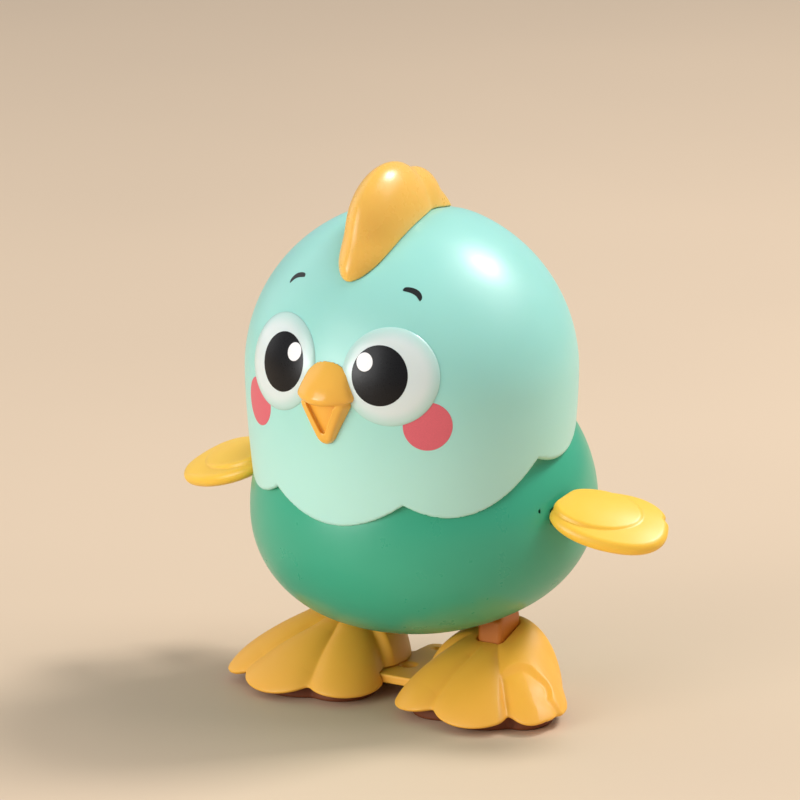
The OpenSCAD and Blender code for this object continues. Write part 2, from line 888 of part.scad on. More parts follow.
module foot_shell() {
    n = foot_sides;
    layer = n * (foot_rings + 1);
    angles = [for (k = [0:n - 1]) k * 360 / n - 180];
    points = concat(
        [for (j = [0:foot_rings]) for (a = angles) foot_point(a, j, 0)],
        [for (j = [0:foot_rings]) for (a = angles) foot_point(a, j, foot_wall)],
        [[ankle_x, ankle_y, foot_top_z], [ankle_x, ankle_y, foot_top_z - foot_wall]]);
    walls = [for (j = [0:foot_rings - 1]) for (k = [0:n - 1])
        let (m = (k + 1) % n, a = j * n + k, b = j * n + m, c = a + n, d = b + n)
        for (f = [[a, d, b], [a, c, d],
            [layer + a, layer + b, layer + d], [layer + a, layer + d, layer + c]]) f];
    edge = [for (k = [0:n - 1]) let (m = (k + 1) % n)
        for (f = [[k, m, layer + m], [k, layer + m, layer + k]]) f];
    tops = [for (k = [0:n - 1]) let (m = (k + 1) % n, a = foot_rings * n + k, b = foot_rings * n + m)
        for (f = [[a, 2 * layer, b], [layer + a, layer + b, 2 * layer + 1]]) f];
    polyhedron(points, concat(walls, edge, tops));
}

module foot_left() {
    gap = 0.15;
    color("goldenrod") difference() {
        foot_shell();
        translate([leg_x[0] - gap, leg_y[0] - gap, bridge_z])
            cube([leg_x[1] - leg_x[0] + 2 * gap, leg_y[1] - leg_y[0] + 2 * gap, far]);
        translate([-1, bridge_mid[0][1] - gap, -1])
            cube([1 + bridge_mid[1][0] + gap, bridge_mid[1][1] - bridge_mid[0][1], bridge_z + bridge_t + gap + 1]);
        translate([0, bridge_arm[0][1] - gap, -1])
            cube([12, bridge_arm[1][1] - bridge_arm[0][1] + 2 * gap, bridge_z + bridge_t + gap + 1]);
    }
}

module foot_right() { mirror([1, 0, 0]) foot_left(); }

module sole_left() {
    color("tan") difference() {
        linear_extrude(sole_t) polygon([for (k = [0:foot_sides - 1])
            let (a = k * 360 / foot_sides - 180, r = foot_rim(a)[0] - sole_inset)
            [ankle_x + r * sin(a), ankle_y - r * cos(a)]]);
        foot_screw(fix_gap);
    }
}

module sole_right() { mirror([1, 0, 0]) sole_left(); }

module rounded_plate(box) {
    r = bridge_corner_r;
    for (x = [box[0][0] + r, box[1][0] - r]) for (y = [box[0][1] + r, box[1][1] - r])
        translate([x, y]) circle(r = r);
    translate(box[0] + [r, 0]) square(box[1] - box[0] - [2 * r, 0]);
    translate(box[0] + [0, r]) square(box[1] - box[0] - [0, 2 * r]);
}

module foot_bridge() {
    color("goldenrod") difference() {
        translate([0, 0, bridge_z]) linear_extrude(bridge_t) {
            rounded_plate(bridge_mid);
            rounded_plate(bridge_arm);
        }
        translate([bridge_hole_at[0], bridge_hole_at[1], bridge_z]) {
            translate([0, 0, -1]) cylinder(r = bridge_hole_r, h = bridge_t + 2);
            translate([0, 0, bridge_t - bridge_chamfer])
                cylinder(r1 = bridge_hole_r, r2 = bridge_hole_r + bridge_chamfer + eps, h = bridge_chamfer + eps);
        }
        both_sides() foot_screw(fix_gap);
    }
}

module foot_screw(grow) {
    translate([(leg_x[0] + leg_x[1]) / 2, foot_screw_y, 0]) {
        translate([0, 0, foot_screw_z[0]])
            cylinder(r = foot_screw_r + grow, h = foot_screw_z[1] - foot_screw_z[0]);
        translate([0, 0, grow > 0 ? -1 : foot_screw_z[0]])
            cylinder(r = foot_screw_head_r + grow, h = foot_screw_head_h + (grow > 0 ? foot_screw_z[0] + 1 : 0));
    }
}

module foot_screws() {
    color("silver") both_sides() foot_screw(0);
}

head_shell();
body_shell();
comb();
beak();
eye_left();
eye_right();
wing_left();
wing_right();
wing_pins();
frame_plate_left();
frame_plate_right();
frame_base();
frame_pillars();
frame_screws();
shell_screws();
mainspring();
winding_knob();
winding_arbor();
ratchet_wheel();
ratchet_click();
great_wheel();
second_arbor();
second_pinion();
second_wheel();
cam_arbor();
cam_pinion();
cam_wheel();
hop_cam();
governor_arbor();
governor_pinion();
governor_flywheel();
leg_shaft();
shaft_clips();
leg_left();
leg_right();
hop_yoke();
yoke_screws();
return_springs();
foot_left();
foot_right();
sole_left();
sole_right();
foot_bridge();
foot_screws();
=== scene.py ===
import math

import bpy
import numpy as np
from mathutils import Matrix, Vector


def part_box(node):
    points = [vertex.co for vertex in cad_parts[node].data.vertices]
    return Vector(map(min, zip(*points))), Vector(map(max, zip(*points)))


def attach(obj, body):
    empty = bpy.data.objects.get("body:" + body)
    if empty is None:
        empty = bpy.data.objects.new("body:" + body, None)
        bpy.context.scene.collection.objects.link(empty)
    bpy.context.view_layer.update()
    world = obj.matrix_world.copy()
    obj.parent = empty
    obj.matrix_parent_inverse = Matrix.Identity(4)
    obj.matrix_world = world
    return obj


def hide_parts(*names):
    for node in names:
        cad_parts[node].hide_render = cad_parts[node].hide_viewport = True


# Looks of a wind-up hopping chicken. Shapes are worked out in millimetres and made in metres.

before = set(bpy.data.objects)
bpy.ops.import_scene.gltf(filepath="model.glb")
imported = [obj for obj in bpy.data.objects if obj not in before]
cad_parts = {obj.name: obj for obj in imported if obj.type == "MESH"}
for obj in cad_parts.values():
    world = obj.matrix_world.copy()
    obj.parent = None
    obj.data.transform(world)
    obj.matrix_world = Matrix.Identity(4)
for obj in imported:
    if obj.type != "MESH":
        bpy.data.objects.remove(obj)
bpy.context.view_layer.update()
MM = 0.001


def cad_box(node):
    """Lowest and highest corner of a CAD node, in millimetres."""
    low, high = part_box(node)
    return np.array(low) / MM, np.array(high) / MM


# ---------- fields: negative inside, about one per millimetre outside ----------

def smin(a, b, k):
    """Union of two fields, rounded over a width k."""
    h = np.clip(0.5 + 0.5 * (b - a) / k, 0, 1)
    return b + (a - b) * h - k * h * (1 - h)


def smax(a, b, k):
    """Overlap of two fields, rounded over a width k."""
    return -smin(-a, -b, k)


def fade(past, length):
    """Rises from 0 to 1 over a length."""
    return np.clip(past / length, 0, 1)


def round_box(x, y, z, low, high, r):
    """Box between two corners, with edges rounded by r."""
    q = [np.abs(v - (a + b) / 2) - (b - a) / 2 + r for v, a, b in zip((x, y, z), low, high)]
    outside = np.sqrt(sum(np.maximum(v, 0) ** 2 for v in q))
    return outside + np.minimum(np.maximum(np.maximum(q[0], q[1]), q[2]), 0) - r


def round_rod(along, across, span, radius, r):
    """Rod with rounded ends: along its axis, and its distance from the axis."""
    q = [across - radius + r, np.abs(along - (span[0] + span[1]) / 2) - (span[1] - span[0]) / 2 + r]
    outside = np.hypot(np.maximum(q[0], 0), np.maximum(q[1], 0))
    return outside + np.minimum(np.maximum(q[0], q[1]), 0) - r


def wall_with_lip(skin, past_edge, wall):
    """Sheet of even wall just inside a skin, with a round lip where past_edge turns positive."""
    middle = skin + wall / 2
    beyond = np.maximum(past_edge + wall / 2, 0)
    return np.hypot(middle, beyond) - wall / 2


# ---------- meshes ----------

def slope(field, p, step=0.02):
    """A field's value and its gradient at some points."""
    value = field(p[:, 0], p[:, 1], p[:, 2])
    out = np.empty_like(p)
    for k in range(3):
        a = p.copy()
        b = p.copy()
        a[:, k] += step
        b[:, k] -= step
        out[:, k] = (field(*a.T) - field(*b.T)) / (2 * step)
    return value, out


def settle(field, p, reach):
    """Moves points onto the surface along the slope."""
    value, g = slope(field, p)
    move = value / np.maximum((g ** 2).sum(1), 1e-4)
    far = np.abs(move) * np.linalg.norm(g, axis=1)
    move *= np.minimum(1, reach / np.maximum(far, 1e-9))
    return p - g * move[:, None]


def net(field, low, high, cell, rounds=9):
    """Quad mesh of a field's zero surface: points in mm, quads, and outward normals."""
    axes = [a + cell * np.arange(int(math.ceil((b - a) / cell)) + 1) for a, b in zip(low, high)]
    value = field(*np.meshgrid(*axes, indexing="ij"))
    shape = tuple(n - 1 for n in value.shape)
    count = np.zeros(shape[0] * shape[1] * shape[2])
    total = [count.copy() for _ in range(3)]
    quads = []
    for axis in range(3):
        u, v = (axis + 1) % 3, (axis + 2) % 3
        first = [slice(None)] * 3
        second = [slice(None)] * 3
        first[axis] = slice(0, -1)
        second[axis] = slice(1, None)
        a = value[tuple(first)]
        b = value[tuple(second)]
        at = np.argwhere((a < 0) != (b < 0))
        inner = (at[:, u] > 0) & (at[:, v] > 0) & (at[:, u] < shape[u]) & (at[:, v] < shape[v])
        at = at[inner]
        va = a[tuple(at.T)]
        vb = b[tuple(at.T)]
        place = at.astype(float)
        place[:, axis] += va / (va - vb)
        ring = []
        for du, dv in ((0, 0), (1, 0), (1, 1), (0, 1)):
            cells = at.copy()
            cells[:, u] -= du
            cells[:, v] -= dv
            flat = np.ravel_multi_index(cells.T, shape)
            ring.append(flat)
            count += np.bincount(flat, minlength=len(count))
            for k in range(3):
                total[k] += np.bincount(flat, weights=place[:, k], minlength=len(count))
        quad = np.stack(ring, 1)
        quad[va > 0] = quad[va > 0][:, ::-1]
        quads.append(quad)
    used = np.flatnonzero(count)
    index = np.full(len(count), -1)
    index[used] = np.arange(len(used))
    faces = index[np.concatenate(quads)]
    points = np.stack([t[used] / count[used] for t in total], 1) * cell + np.array(low, float)
    return relax(field, points, faces, cell, rounds)


def relax(field, points, faces, cell, rounds):
    """Evens the points out along the surface and works out the normals."""
    pairs = np.concatenate([faces[:, [k, (k + 1) % 4]] for k in range(4)])
    number = np.maximum(np.bincount(pairs[:, 0], minlength=len(points)), 1)
    for _ in range(rounds):
        mean = np.stack([np.bincount(pairs[:, 0], weights=points[pairs[:, 1], k],
                                     minlength=len(points)) for k in range(3)], 1) / number[:, None]
        points = settle(field, points + 0.5 * (mean - points), cell / 2)
    points = settle(field, points, cell / 2)
    g = slope(field, points)[1]
    return points, faces, g / np.maximum(np.linalg.norm(g, axis=1), 1e-6)[:, None]


def mirrored(shape):
    """The same shape on the other side of the middle plane."""
    points, faces, normals = shape
    flip = np.array([-1, 1, 1])
    return points * flip, faces[:, ::-1], None if normals is None else normals * flip


def joined(*shapes):
    """Several shapes as one."""
    points, faces, normals, start = [], [], [], 0
    for p, f, n in shapes:
        points.append(p)
        faces.append(f + start)
        normals.append(n)
        start += len(p)
    return np.concatenate(points), np.concatenate(faces), np.concatenate(normals)


def piece(name, shape, material, body, *nodes):
    """Makes a mesh object of a shape in mm that rides on a body and stands for CAD nodes."""
    points, faces, normals = shape
    mesh = bpy.data.meshes.new(name)
    mesh.from_pydata((points * MM).tolist(), [], faces.tolist())
    mesh.materials.append(material)
    mesh.polygons.foreach_set("use_smooth", [True] * len(mesh.polygons))
    if normals is not None:
        mesh.normals_split_custom_set_from_vertices(normals.tolist())
    mesh.update()
    obj = bpy.data.objects.new(name, mesh)
    bpy.context.scene.collection.objects.link(obj)
    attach(obj, body)
    if nodes:
        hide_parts(*nodes)


# ---------- materials ----------

class Look:
    """A small helper that builds one procedural material."""

    def __init__(self, name):
        self.material = bpy.data.materials.new(name)
        self.material.use_nodes = True
        self.tree = self.material.node_tree
        self.tree.nodes.clear()
        self.out = self.add("ShaderNodeOutputMaterial")
        self.bsdf = self.add("ShaderNodeBsdfPrincipled")
        self.link(self.bsdf, "BSDF", self.out, "Surface")
        self.coord = self.add("ShaderNodeTexCoord")

    def add(self, kind):
        return self.tree.nodes.new(kind)

    def link(self, a, output, b, socket):
        self.tree.links.new(a.outputs[output], b.inputs[socket])

    def noise(self, scale, detail, rough=0.5, stretch=None):
        n = self.add("ShaderNodeTexNoise")
        n.inputs["Scale"].default_value = scale
        n.inputs["Detail"].default_value = detail
        n.inputs["Roughness"].default_value = rough
        if stretch is None:
            self.link(self.coord, "Object", n, "Vector")
        else:
            m = self.add("ShaderNodeMapping")
            m.inputs["Scale"].default_value = stretch
            self.link(self.coord, "Object", m, "Vector")
            self.link(m, "Vector", n, "Vector")
        return n

    def ramp(self, source, output, low, high, start=0.3, end=0.7):
        r = self.add("ShaderNodeValToRGB")
        r.color_ramp.elements[0].position = start
        r.color_ramp.elements[0].color = (*low, 1)
        r.color_ramp.elements[1].position = end
        r.color_ramp.elements[1].color = (*high, 1)
        self.link(source, output, r, "Fac")
        return r

    def spread(self, source, output, low, high, start=0.3, end=0.7):
        m = self.add("ShaderNodeMapRange")
        m.inputs["From Min"].default_value = start
        m.inputs["From Max"].default_value = end
        m.inputs["To Min"].default_value = low
        m.inputs["To Max"].default_value = high
        self.link(source, output, m, "Value")
        return m

    def bump(self, source, output, strength, distance, under=None):
        b = self.add("ShaderNodeBump")
        b.inputs["Strength"].default_value = strength
        b.inputs["Distance"].default_value = distance
        self.link(source, output, b, "Height")
        if under is not None:
            self.link(under, "Normal", b, "Normal")
        return b

    def mix(self, factor, output, a, b):
        m = self.add("ShaderNodeMix")
        m.data_type = "RGBA"
        self.tree.links.new(factor.outputs[output], m.inputs[0])
        for socket, value in ((m.inputs[6], a), (m.inputs[7], b)):
            if isinstance(value, bpy.types.Node):
                self.tree.links.new(value.outputs["Color"], socket)
            else:
                socket.default_value = (*value, 1)
        return m


def tinted(colour, share):
    """A colour made darker or lighter by a share."""
    return tuple(c * share for c in colour)


GLOW_RADIUS = (1.0, 0.6, 0.35)
GLOW_DEPTH = 0.0025
PLASTIC_IOR = 1.52


def moulded(name, colour, rough, vary=0.04, grain=2600, depth=0.03,
            floor_reflection_colour=None, span=None, glow=0.0):
    """Moulded plastic: faint flow marks, uneven gloss and a fine eggshell grain; a second colour, where
    given, is painted floor reflection that fades out upwards.
    """
    look = Look(name)
    flow = look.noise(38, 3, 0.55)
    marks = look.ramp(flow, "Fac", tinted(colour, 1 - vary), tinted(colour, 1 + vary * 0.5))
    if floor_reflection_colour is None:
        look.link(marks, "Color", look.bsdf, "Base Color")
    else:
        # Painted reflection: the floor's light is painted into the lower part as this lighter colour,
        # fading out over the height span.
        floor_reflection_marks = look.ramp(flow, "Fac", tinted(floor_reflection_colour, 1 - vary),
                              tinted(floor_reflection_colour, 1 + vary * 0.5))
        split = look.add("ShaderNodeSeparateXYZ")
        look.link(look.coord, "Object", split, "Vector")
        height = look.spread(split, "Z", 0, 1, span[0] * MM, span[1] * MM)
        height.interpolation_type = "SMOOTHSTEP"
        base = look.mix(height, "Result", floor_reflection_marks, marks)
        look.tree.links.new(base.outputs[2], look.bsdf.inputs["Base Color"])
    patches = look.noise(160, 4, 0.6)
    gloss = look.spread(patches, "Fac", rough - 0.035, rough + 0.035)
    look.link(gloss, "Result", look.bsdf, "Roughness")
    fine = look.noise(grain, 2, 0.5)
    wave = look.noise(55, 1, 0.4)
    slow = look.bump(wave, "Fac", 0.05, 0.0004)
    skin = look.bump(fine, "Fac", depth, 0.0001, slow)
    look.link(skin, "Normal", look.bsdf, "Normal")
    if glow:
        look.bsdf.inputs["Subsurface Weight"].default_value = glow
        look.bsdf.inputs["Subsurface Radius"].default_value = GLOW_RADIUS
        look.bsdf.inputs["Subsurface Scale"].default_value = GLOW_DEPTH
    look.bsdf.inputs["IOR"].default_value = PLASTIC_IOR
    return look.material


RIM_FADE = (-3.0, 0.3)


def eye_plastic(name, middle, colour, rim_colour):
    """Milky eye plastic that thins to the head's tint at its rim."""
    material = moulded(name, colour, 0.22, 0.012, glow=0.1)
    tree = material.node_tree
    bsdf = tree.nodes["Principled BSDF"]
    coord = tree.nodes["Texture Coordinate"]
    away = tree.nodes.new("ShaderNodeVectorMath")
    away.operation = "DISTANCE"
    away.inputs[1].default_value = [v * MM for v in middle]
    tree.links.new(coord.outputs["Object"], away.inputs[0])
    ring = tree.nodes.new("ShaderNodeMapRange")
    ring.interpolation_type = "SMOOTHSTEP"
    ring.inputs["From Min"].default_value = (EYE_R + RIM_FADE[0]) * MM
    ring.inputs["From Max"].default_value = (EYE_R + RIM_FADE[1]) * MM
    tree.links.new(away.outputs["Value"], ring.inputs["Value"])
    mix = tree.nodes.new("ShaderNodeMix")
    mix.data_type = "RGBA"
    source = bsdf.inputs["Base Color"].links[0].from_socket
    tree.links.new(ring.outputs["Result"], mix.inputs[0])
    tree.links.new(source, mix.inputs[6])
    mix.inputs[7].default_value = (*rim_colour, 1)
    tree.links.new(mix.outputs[2], bsdf.inputs["Base Color"])
    return material


def turned_metal(name, colour, rough, stretch=(1, 1, 1)):
    """Turned or drawn metal with fine tool lines."""
    look = Look(name)
    lines = look.noise(900, 3, 0.6, stretch)
    tone = look.ramp(lines, "Fac", tinted(colour, 0.82), tinted(colour, 1.06), 0.25, 0.75)
    look.link(tone, "Color", look.bsdf, "Base Color")
    gloss = look.spread(lines, "Fac", rough - 0.06, rough + 0.1)
    look.link(gloss, "Result", look.bsdf, "Roughness")
    skin = look.bump(lines, "Fac", 0.08, 0.00005)
    look.link(skin, "Normal", look.bsdf, "Normal")
    look.bsdf.inputs["Metallic"].default_value = 1
    return look.material


def printed(name, colour, rough):
    """Pad-printed ink: thin and even, with a faint screen grain."""
    look = Look(name)
    speck = look.noise(4200, 2, 0.6)
    tone = look.ramp(speck, "Fac", tinted(colour, 0.94), tinted(colour, 1.04))
    look.link(tone, "Color", look.bsdf, "Base Color")
    gloss = look.spread(speck, "Fac", rough - 0.04, rough + 0.05)
    look.link(gloss, "Result", look.bsdf, "Roughness")
    skin = look.bump(speck, "Fac", 0.03, 0.00004)
    look.link(skin, "Normal", look.bsdf, "Normal")
    return look.material


# The head's lower part is painted lighter and paler, from 82 mm down to 46 mm: painted reflection of the
# pale floor.
MINT = moulded("mint", (0.32, 0.69, 0.61), 0.34, 0.02, 2600, 0.012, glow=0.12,
               floor_reflection_colour=(0.46, 0.79, 0.69), span=(46, 82))
GREEN = moulded("green", (0.036, 0.38, 0.225), 0.3, 0.03)
AMBER = moulded("amber", (0.87, 0.49, 0.085), 0.28, 0.03, glow=0.15)
BEAK = moulded("beak_amber", (0.90, 0.47, 0.065), 0.21, 0.03, glow=0.08)
WING = moulded("wing_amber", (0.93, 0.55, 0.05), 0.38, 0.03, glow=0.15)
FOOT = moulded("foot_amber", (0.90, 0.44, 0.045), 0.5, 0.03, glow=0.12)
# Leg amber painted much darker than the foot: painted shade under the body.
LEG_PAINTED_SHADE = moulded("leg_amber_painted_shade", (0.60, 0.17, 0.01), 0.4, 0.04)
# Sole painted dark red-brown: painted shade in the gap under the toe rims.
SOLE_PAINTED_SHADE = moulded("sole_painted_shade", (0.17, 0.04, 0.006), 0.62, 0.08, 1500, 0.12)
PUPIL = printed("print_black", (0.003, 0.003, 0.004), 0.3)
PUPIL.node_tree.nodes["Principled BSDF"].inputs["Specular IOR Level"].default_value = 0.3
GLINT = printed("print_white", (0.92, 0.92, 0.92), 0.3)
BLUSH = printed("print_pink", (0.70, 0.12, 0.155), 0.4)
BROW = printed("print_brow", (0.004, 0.006, 0.006), 0.45)
NYLON = moulded("nylon", (0.72, 0.70, 0.62), 0.5, 0.05, 1800, 0.06)
ACETAL = moulded("acetal", (0.78, 0.62, 0.16), 0.42, 0.05, 1800, 0.05)
STEEL = turned_metal("steel", (0.55, 0.55, 0.56), 0.3, (4, 1, 1))
SPRING = turned_metal("spring_steel", (0.20, 0.21, 0.24), 0.34, (1, 1, 6))
ZINC = turned_metal("zinc", (0.66, 0.65, 0.60), 0.38)
BRASS = turned_metal("brass", (0.72, 0.50, 0.18), 0.3, (4, 1, 1))

# ---------- head ----------

HEAD_HALF = (34.6, 33.2, 34.2)
HEAD_Y = -1.3
HEAD_Z = 70.0
HEAD_WALL = 1.6
HEAD_MEAN_R = 33.8
# Below its widest height the head tucks in by this share, over this depth and to this power
WAIST = (0.022, 14, 1.6)
CLEFT_DEPTH = 1.7
CLEFT_HALF = 4.6
# Where the cleft under the comb begins and ends, and how fast it fades in
CLEFT_LOW, CLEFT_REAR, CLEFT_FRONT = (92, 7), (13, 8), (-27, 5)
CUSPS = (-180.0, -131.0, -80.2, -27.8, 27.8, 80.2, 131.0, 180.0)
EDGE_AT = (-30.1, 48.7)
EDGE_SLOPE = 0.3245
LOBE_DROP = 5.3
FRONT_DROP = 4.6
# Fields that slant grow faster than one per millimetre; these bring them back
LOBE_STRETCH = 1.12
EDGE_STRETCH = 1.05
SHELL_CELL = 0.62


def head_skin(x, y, z):
    """Outside of the head: a half ellipsoid over a nearly straight skirt."""
    low = np.maximum(HEAD_Z - z, 0) / WAIST[1]
    waist = 1 - WAIST[0] * low ** WAIST[2]
    up = np.maximum(z - HEAD_Z, 0) / HEAD_HALF[2]
    q = np.sqrt((x / HEAD_HALF[0]) ** 2 + ((y - HEAD_Y) / HEAD_HALF[1]) ** 2 + up ** 2)
    cleft = CLEFT_DEPTH * np.exp(-(x / CLEFT_HALF) ** 2)
    cleft *= (fade(z - CLEFT_LOW[0], CLEFT_LOW[1]) * fade(CLEFT_REAR[0] - y, CLEFT_REAR[1])
              * fade(y - CLEFT_FRONT[0], CLEFT_FRONT[1]))
    return (q - waist) * HEAD_MEAN_R + cleft


def edge_plane(y):
    """Height of the slanting plane that the scallops hang from."""
    return EDGE_AT[1] + EDGE_SLOPE * (y - EDGE_AT[0])


def below_edge(x, y, z):
    """How far a point is below the head's scalloped edge."""
    angle = np.degrees(np.arctan2(x, -(y - HEAD_Y)))
    drop = np.zeros_like(angle)
    for start, end in zip(CUSPS[:-1], CUSPS[1:]):
        u = (2 * angle - start - end) / (end - start)
        deep = FRONT_DROP if start < 0 < end else LOBE_DROP
        drop = np.where(np.abs(u) <= 1, deep * (1 - u * u), drop)
    return (edge_plane(y) - drop - z) / LOBE_STRETCH


def head_field(x, y, z):
    return wall_with_lip(head_skin(x, y, z), below_edge(x, y, z), HEAD_WALL)


piece("head_skin", net(head_field, (-36, -36, 42), (36, 34, 106), SHELL_CELL), MINT, "shell", "head_shell")

# ---------- body ----------

EGG_AT = (3.7, 40.1)
EGG_TILT = math.radians(8.5)
EGG_R = 36.0
EGG_UPPER = 31.0
EGG_CORNER = 21.1
EGG_DEPTH = 25.4
BODY_WALL = 1.8
NECK_INSET = 2.0
NECK_REACH = 9
NECK_RISE = 4.5


def egg(x, y, z):
    """Tilted egg: a round top, and below it a corner arc that runs into a flatter bottom arc."""
    dy = y - EGG_AT[0]
    dz = z - EGG_AT[1]
    side = math.cos(EGG_TILT) * dy + math.sin(EGG_TILT) * dz
    up = -math.sin(EGG_TILT) * dy + math.cos(EGG_TILT) * dz
    r = np.hypot(x, side)
    arm = EGG_R - EGG_CORNER
    big = (arm ** 2 + EGG_DEPTH ** 2 - EGG_CORNER ** 2) / (2 * (EGG_DEPTH - EGG_CORNER))
    above = np.hypot(r - (EGG_R - EGG_UPPER), up) - EGG_UPPER
    corner = np.hypot(r - arm, up) - EGG_CORNER
    lift = big - EGG_DEPTH
    bottom = np.hypot(r, up - lift) - big
    flat = r * lift < -(up - lift) * arm
    return np.where(up > 0, above, np.where(flat, bottom, corner))


LEG_BOX = cad_box("leg_left")
LEG_X = (LEG_BOX[0][0], LEG_BOX[1][0])
LEG_Y = (0.3, 7.6)
KNOB_BOX = cad_box("winding_knob")
KNOB_MID = (KNOB_BOX[0] + KNOB_BOX[1]) / 2
PIN_BOX = cad_box("wing_pins")
PIN_Z = (PIN_BOX[0][2] + PIN_BOX[1][2]) / 2
PIN_Y = (PIN_BOX[0][1] + PIN_BOX[1][1]) / 2
PIN_X = 31.5
ARM_Y = -3.75
ARM_HALF = 0.5
LUG_HALF = 1.8
LUG_R = 1.7
LUG_GAP = (0.3, 0.25)
ARM_GAP = (0.2, 0.3)
# The slot for the wing's arm: from the pin outwards, and how high it lets the arm rise
ARM_SLOT_X = (1.5, 6.3)
ARM_SLOT_TOP = 0.45
EAR_OFF = 2.85
EAR_HALF = 0.8
EAR_SIZE = (3, 1.9)
PIN_BORE = (0.85, 3.7)
LEG_SLOT_GAP = ((1.3, 1.2), (0.6, 2.6))
LEG_SLOT_Z = (8, 26)
BOSS_R = 3.4
BOSS_TOP = 20.7
SCREW_BORE = 1.25
SCREW_HEAD_GAP = 0.3
ARBOR_BORE = 2.4
ARBOR_SIDE = -20
ARM_Z = (-1.9, -0.8)
SCREW_BOX = cad_box("shell_screws")
SCREW_Y = (SCREW_BOX[0][1] + 2, SCREW_BOX[1][1] - 2)
SCREW_SEAT = (16.9, 19.3)
SCREW_HEAD = (2.0, 1.2)


def body_skin(x, y, z):
    """Outside of the body: the egg with a neck that goes up inside the head."""
    above = z - edge_plane(y)
    neck = smax(head_skin(x, y, z) + NECK_INSET, -NECK_REACH - above, 1)
    return smin(egg(x, y, z), neck, 1.2)


def body_field(x, y, z):
    """Body shell with its screw bosses, leg slots, wing hinges and arbor bore."""
    past = (z - edge_plane(y) - NECK_RISE) / EDGE_STRETCH
    f = wall_with_lip(body_skin(x, y, z), past, BODY_WALL)
    inside = egg(x, y, z) + 0.6
    for at, seat in zip(SCREW_Y, SCREW_SEAT):
        r = np.hypot(x, y - at)
        boss = np.maximum(np.maximum(r - BOSS_R, z - BOSS_TOP), inside)
        f = smin(f, boss, 0.4)
        f = smax(f, -(np.maximum(r - SCREW_HEAD[0] - SCREW_HEAD_GAP, z - seat)), 0.3)
        f = np.maximum(f, SCREW_BORE - r)
    ax = np.abs(x)
    before, after = LEG_SLOT_GAP
    slot = round_box(ax, y, z, (LEG_X[0] - before[0], LEG_Y[0] - before[1], LEG_SLOT_Z[0]),
                     (LEG_X[1] + after[0], LEG_Y[1] + after[1], LEG_SLOT_Z[1]), 1.2)
    f = smax(f, -slot, 0.6)
    for side in (-1, 1):
        ear_y = PIN_Y + side * EAR_OFF
        ear = round_box(ax, y, z, (PIN_X - EAR_SIZE[0], ear_y - EAR_HALF, PIN_Z - EAR_SIZE[1]),
                        (PIN_X + EAR_SIZE[0], ear_y + EAR_HALF, PIN_Z + EAR_SIZE[1]), 0.3)
        f = smin(f, np.maximum(ear, inside), 0.3)
    from_pin = np.hypot(ax - PIN_X, z - PIN_Z)
    along_pin = np.abs(y - PIN_Y)
    f = np.maximum(f, -np.maximum(from_pin - PIN_BORE[0], along_pin - PIN_BORE[1]))
    pocket = np.maximum(from_pin - LUG_R - LUG_GAP[0], along_pin - LUG_HALF - LUG_GAP[1])
    f = smax(f, -pocket, 0.1)
    reach = ARM_HALF + ARM_GAP[0]
    gap = round_box(ax, y, z, (PIN_X + ARM_SLOT_X[0], ARM_Y - reach, PIN_Z + ARM_Z[0] - ARM_GAP[1]),
                    (PIN_X + ARM_SLOT_X[1], ARM_Y + reach, PIN_Z + ARM_SLOT_TOP), 0.4)
    f = smax(f, -gap, 0.3)
    bore = np.maximum(np.hypot(y - KNOB_MID[1], z - KNOB_MID[2]) - ARBOR_BORE, x - ARBOR_SIDE)
    return smax(f, -bore, 0.5)


piece("body_skin", net(body_field, (-37.5, -34, 13), (37.5, 41, 76), SHELL_CELL),
      GREEN, "shell", "body_shell")

# ---------- comb ----------

COMB_FRONT = (-10.2, 100.65)
COMB_REAR = (-1.7, 101.6)
COMB_TAIL = (6.6, 99.0)
# Each lobe's reach from its centre, half width and how square it is across
FRONT_SIZE = (13.7, 6.2, 1.7)
REAR_SIZE = (10.2, 4.7, 1.8)
TAIL_SIZE = (6.0, 3.6, 1.8)
# The front lobe runs further forward: by how much, towards which turn, and over how many degrees
PROW = (4.3, -24, 18)


def comb_lobe(x, y, z, centre, reach, half, bulge):
    """Flat, domed disc that stands on edge."""
    r = np.hypot(y - centre[0], z - centre[1])
    q = (np.abs(x) / half) ** bulge + (r / reach) ** 2.6
    return ((q + 1e-6) ** (1 / 2.1) - 1) * half * 1.15


def comb_field(x, y, z):
    """Three lobes with creases between them, cut off just above the head."""
    turn = np.degrees(np.arctan2(z - COMB_FRONT[1], -(y - COMB_FRONT[0])))
    reach = FRONT_SIZE[0] + PROW[0] * np.exp(-((turn - PROW[1]) / PROW[2]) ** 2)
    front = comb_lobe(x, y, z, COMB_FRONT, reach, *FRONT_SIZE[1:])
    rear = comb_lobe(x, y, z, COMB_REAR, *REAR_SIZE)
    tail = comb_lobe(x, y, z, COMB_TAIL, *TAIL_SIZE)
    f = smin(front, smin(rear, tail, 2.2), 0.35)
    return smax(f, 0.1 - head_skin(x, y, z), 0.3)


piece("comb_skin", net(comb_field, (-7, -29, 88), (7, 13, 116), 0.34), AMBER, "shell", "comb")

# ---------- beak ----------

LIP_Z = 69.7
BEAK_FRONT = -39.1
# Planes that face sideways: the outward direction, then how far out they lie
UPPER_SIDE = (0.882, -0.217, 0.418, -43.1)
LOWER_SIDE = (0.856, -0.272, -0.438, 16.3)
# Above this height the upper side curves in to the beak's top
TOP_BEND = (75.5, 0.22)
LOWER_SPAN = (60.9, 70.6)
RECESS_SPAN = (63.6, 70.2)
RECESS_RIM = 1.35
RECESS_DEPTH = 1.2


def side_plane(ax, y, z, plane):
    """Distance beyond a plane that is mirrored left and right."""
    return plane[0] * ax + plane[1] * y + plane[2] * z + plane[3]


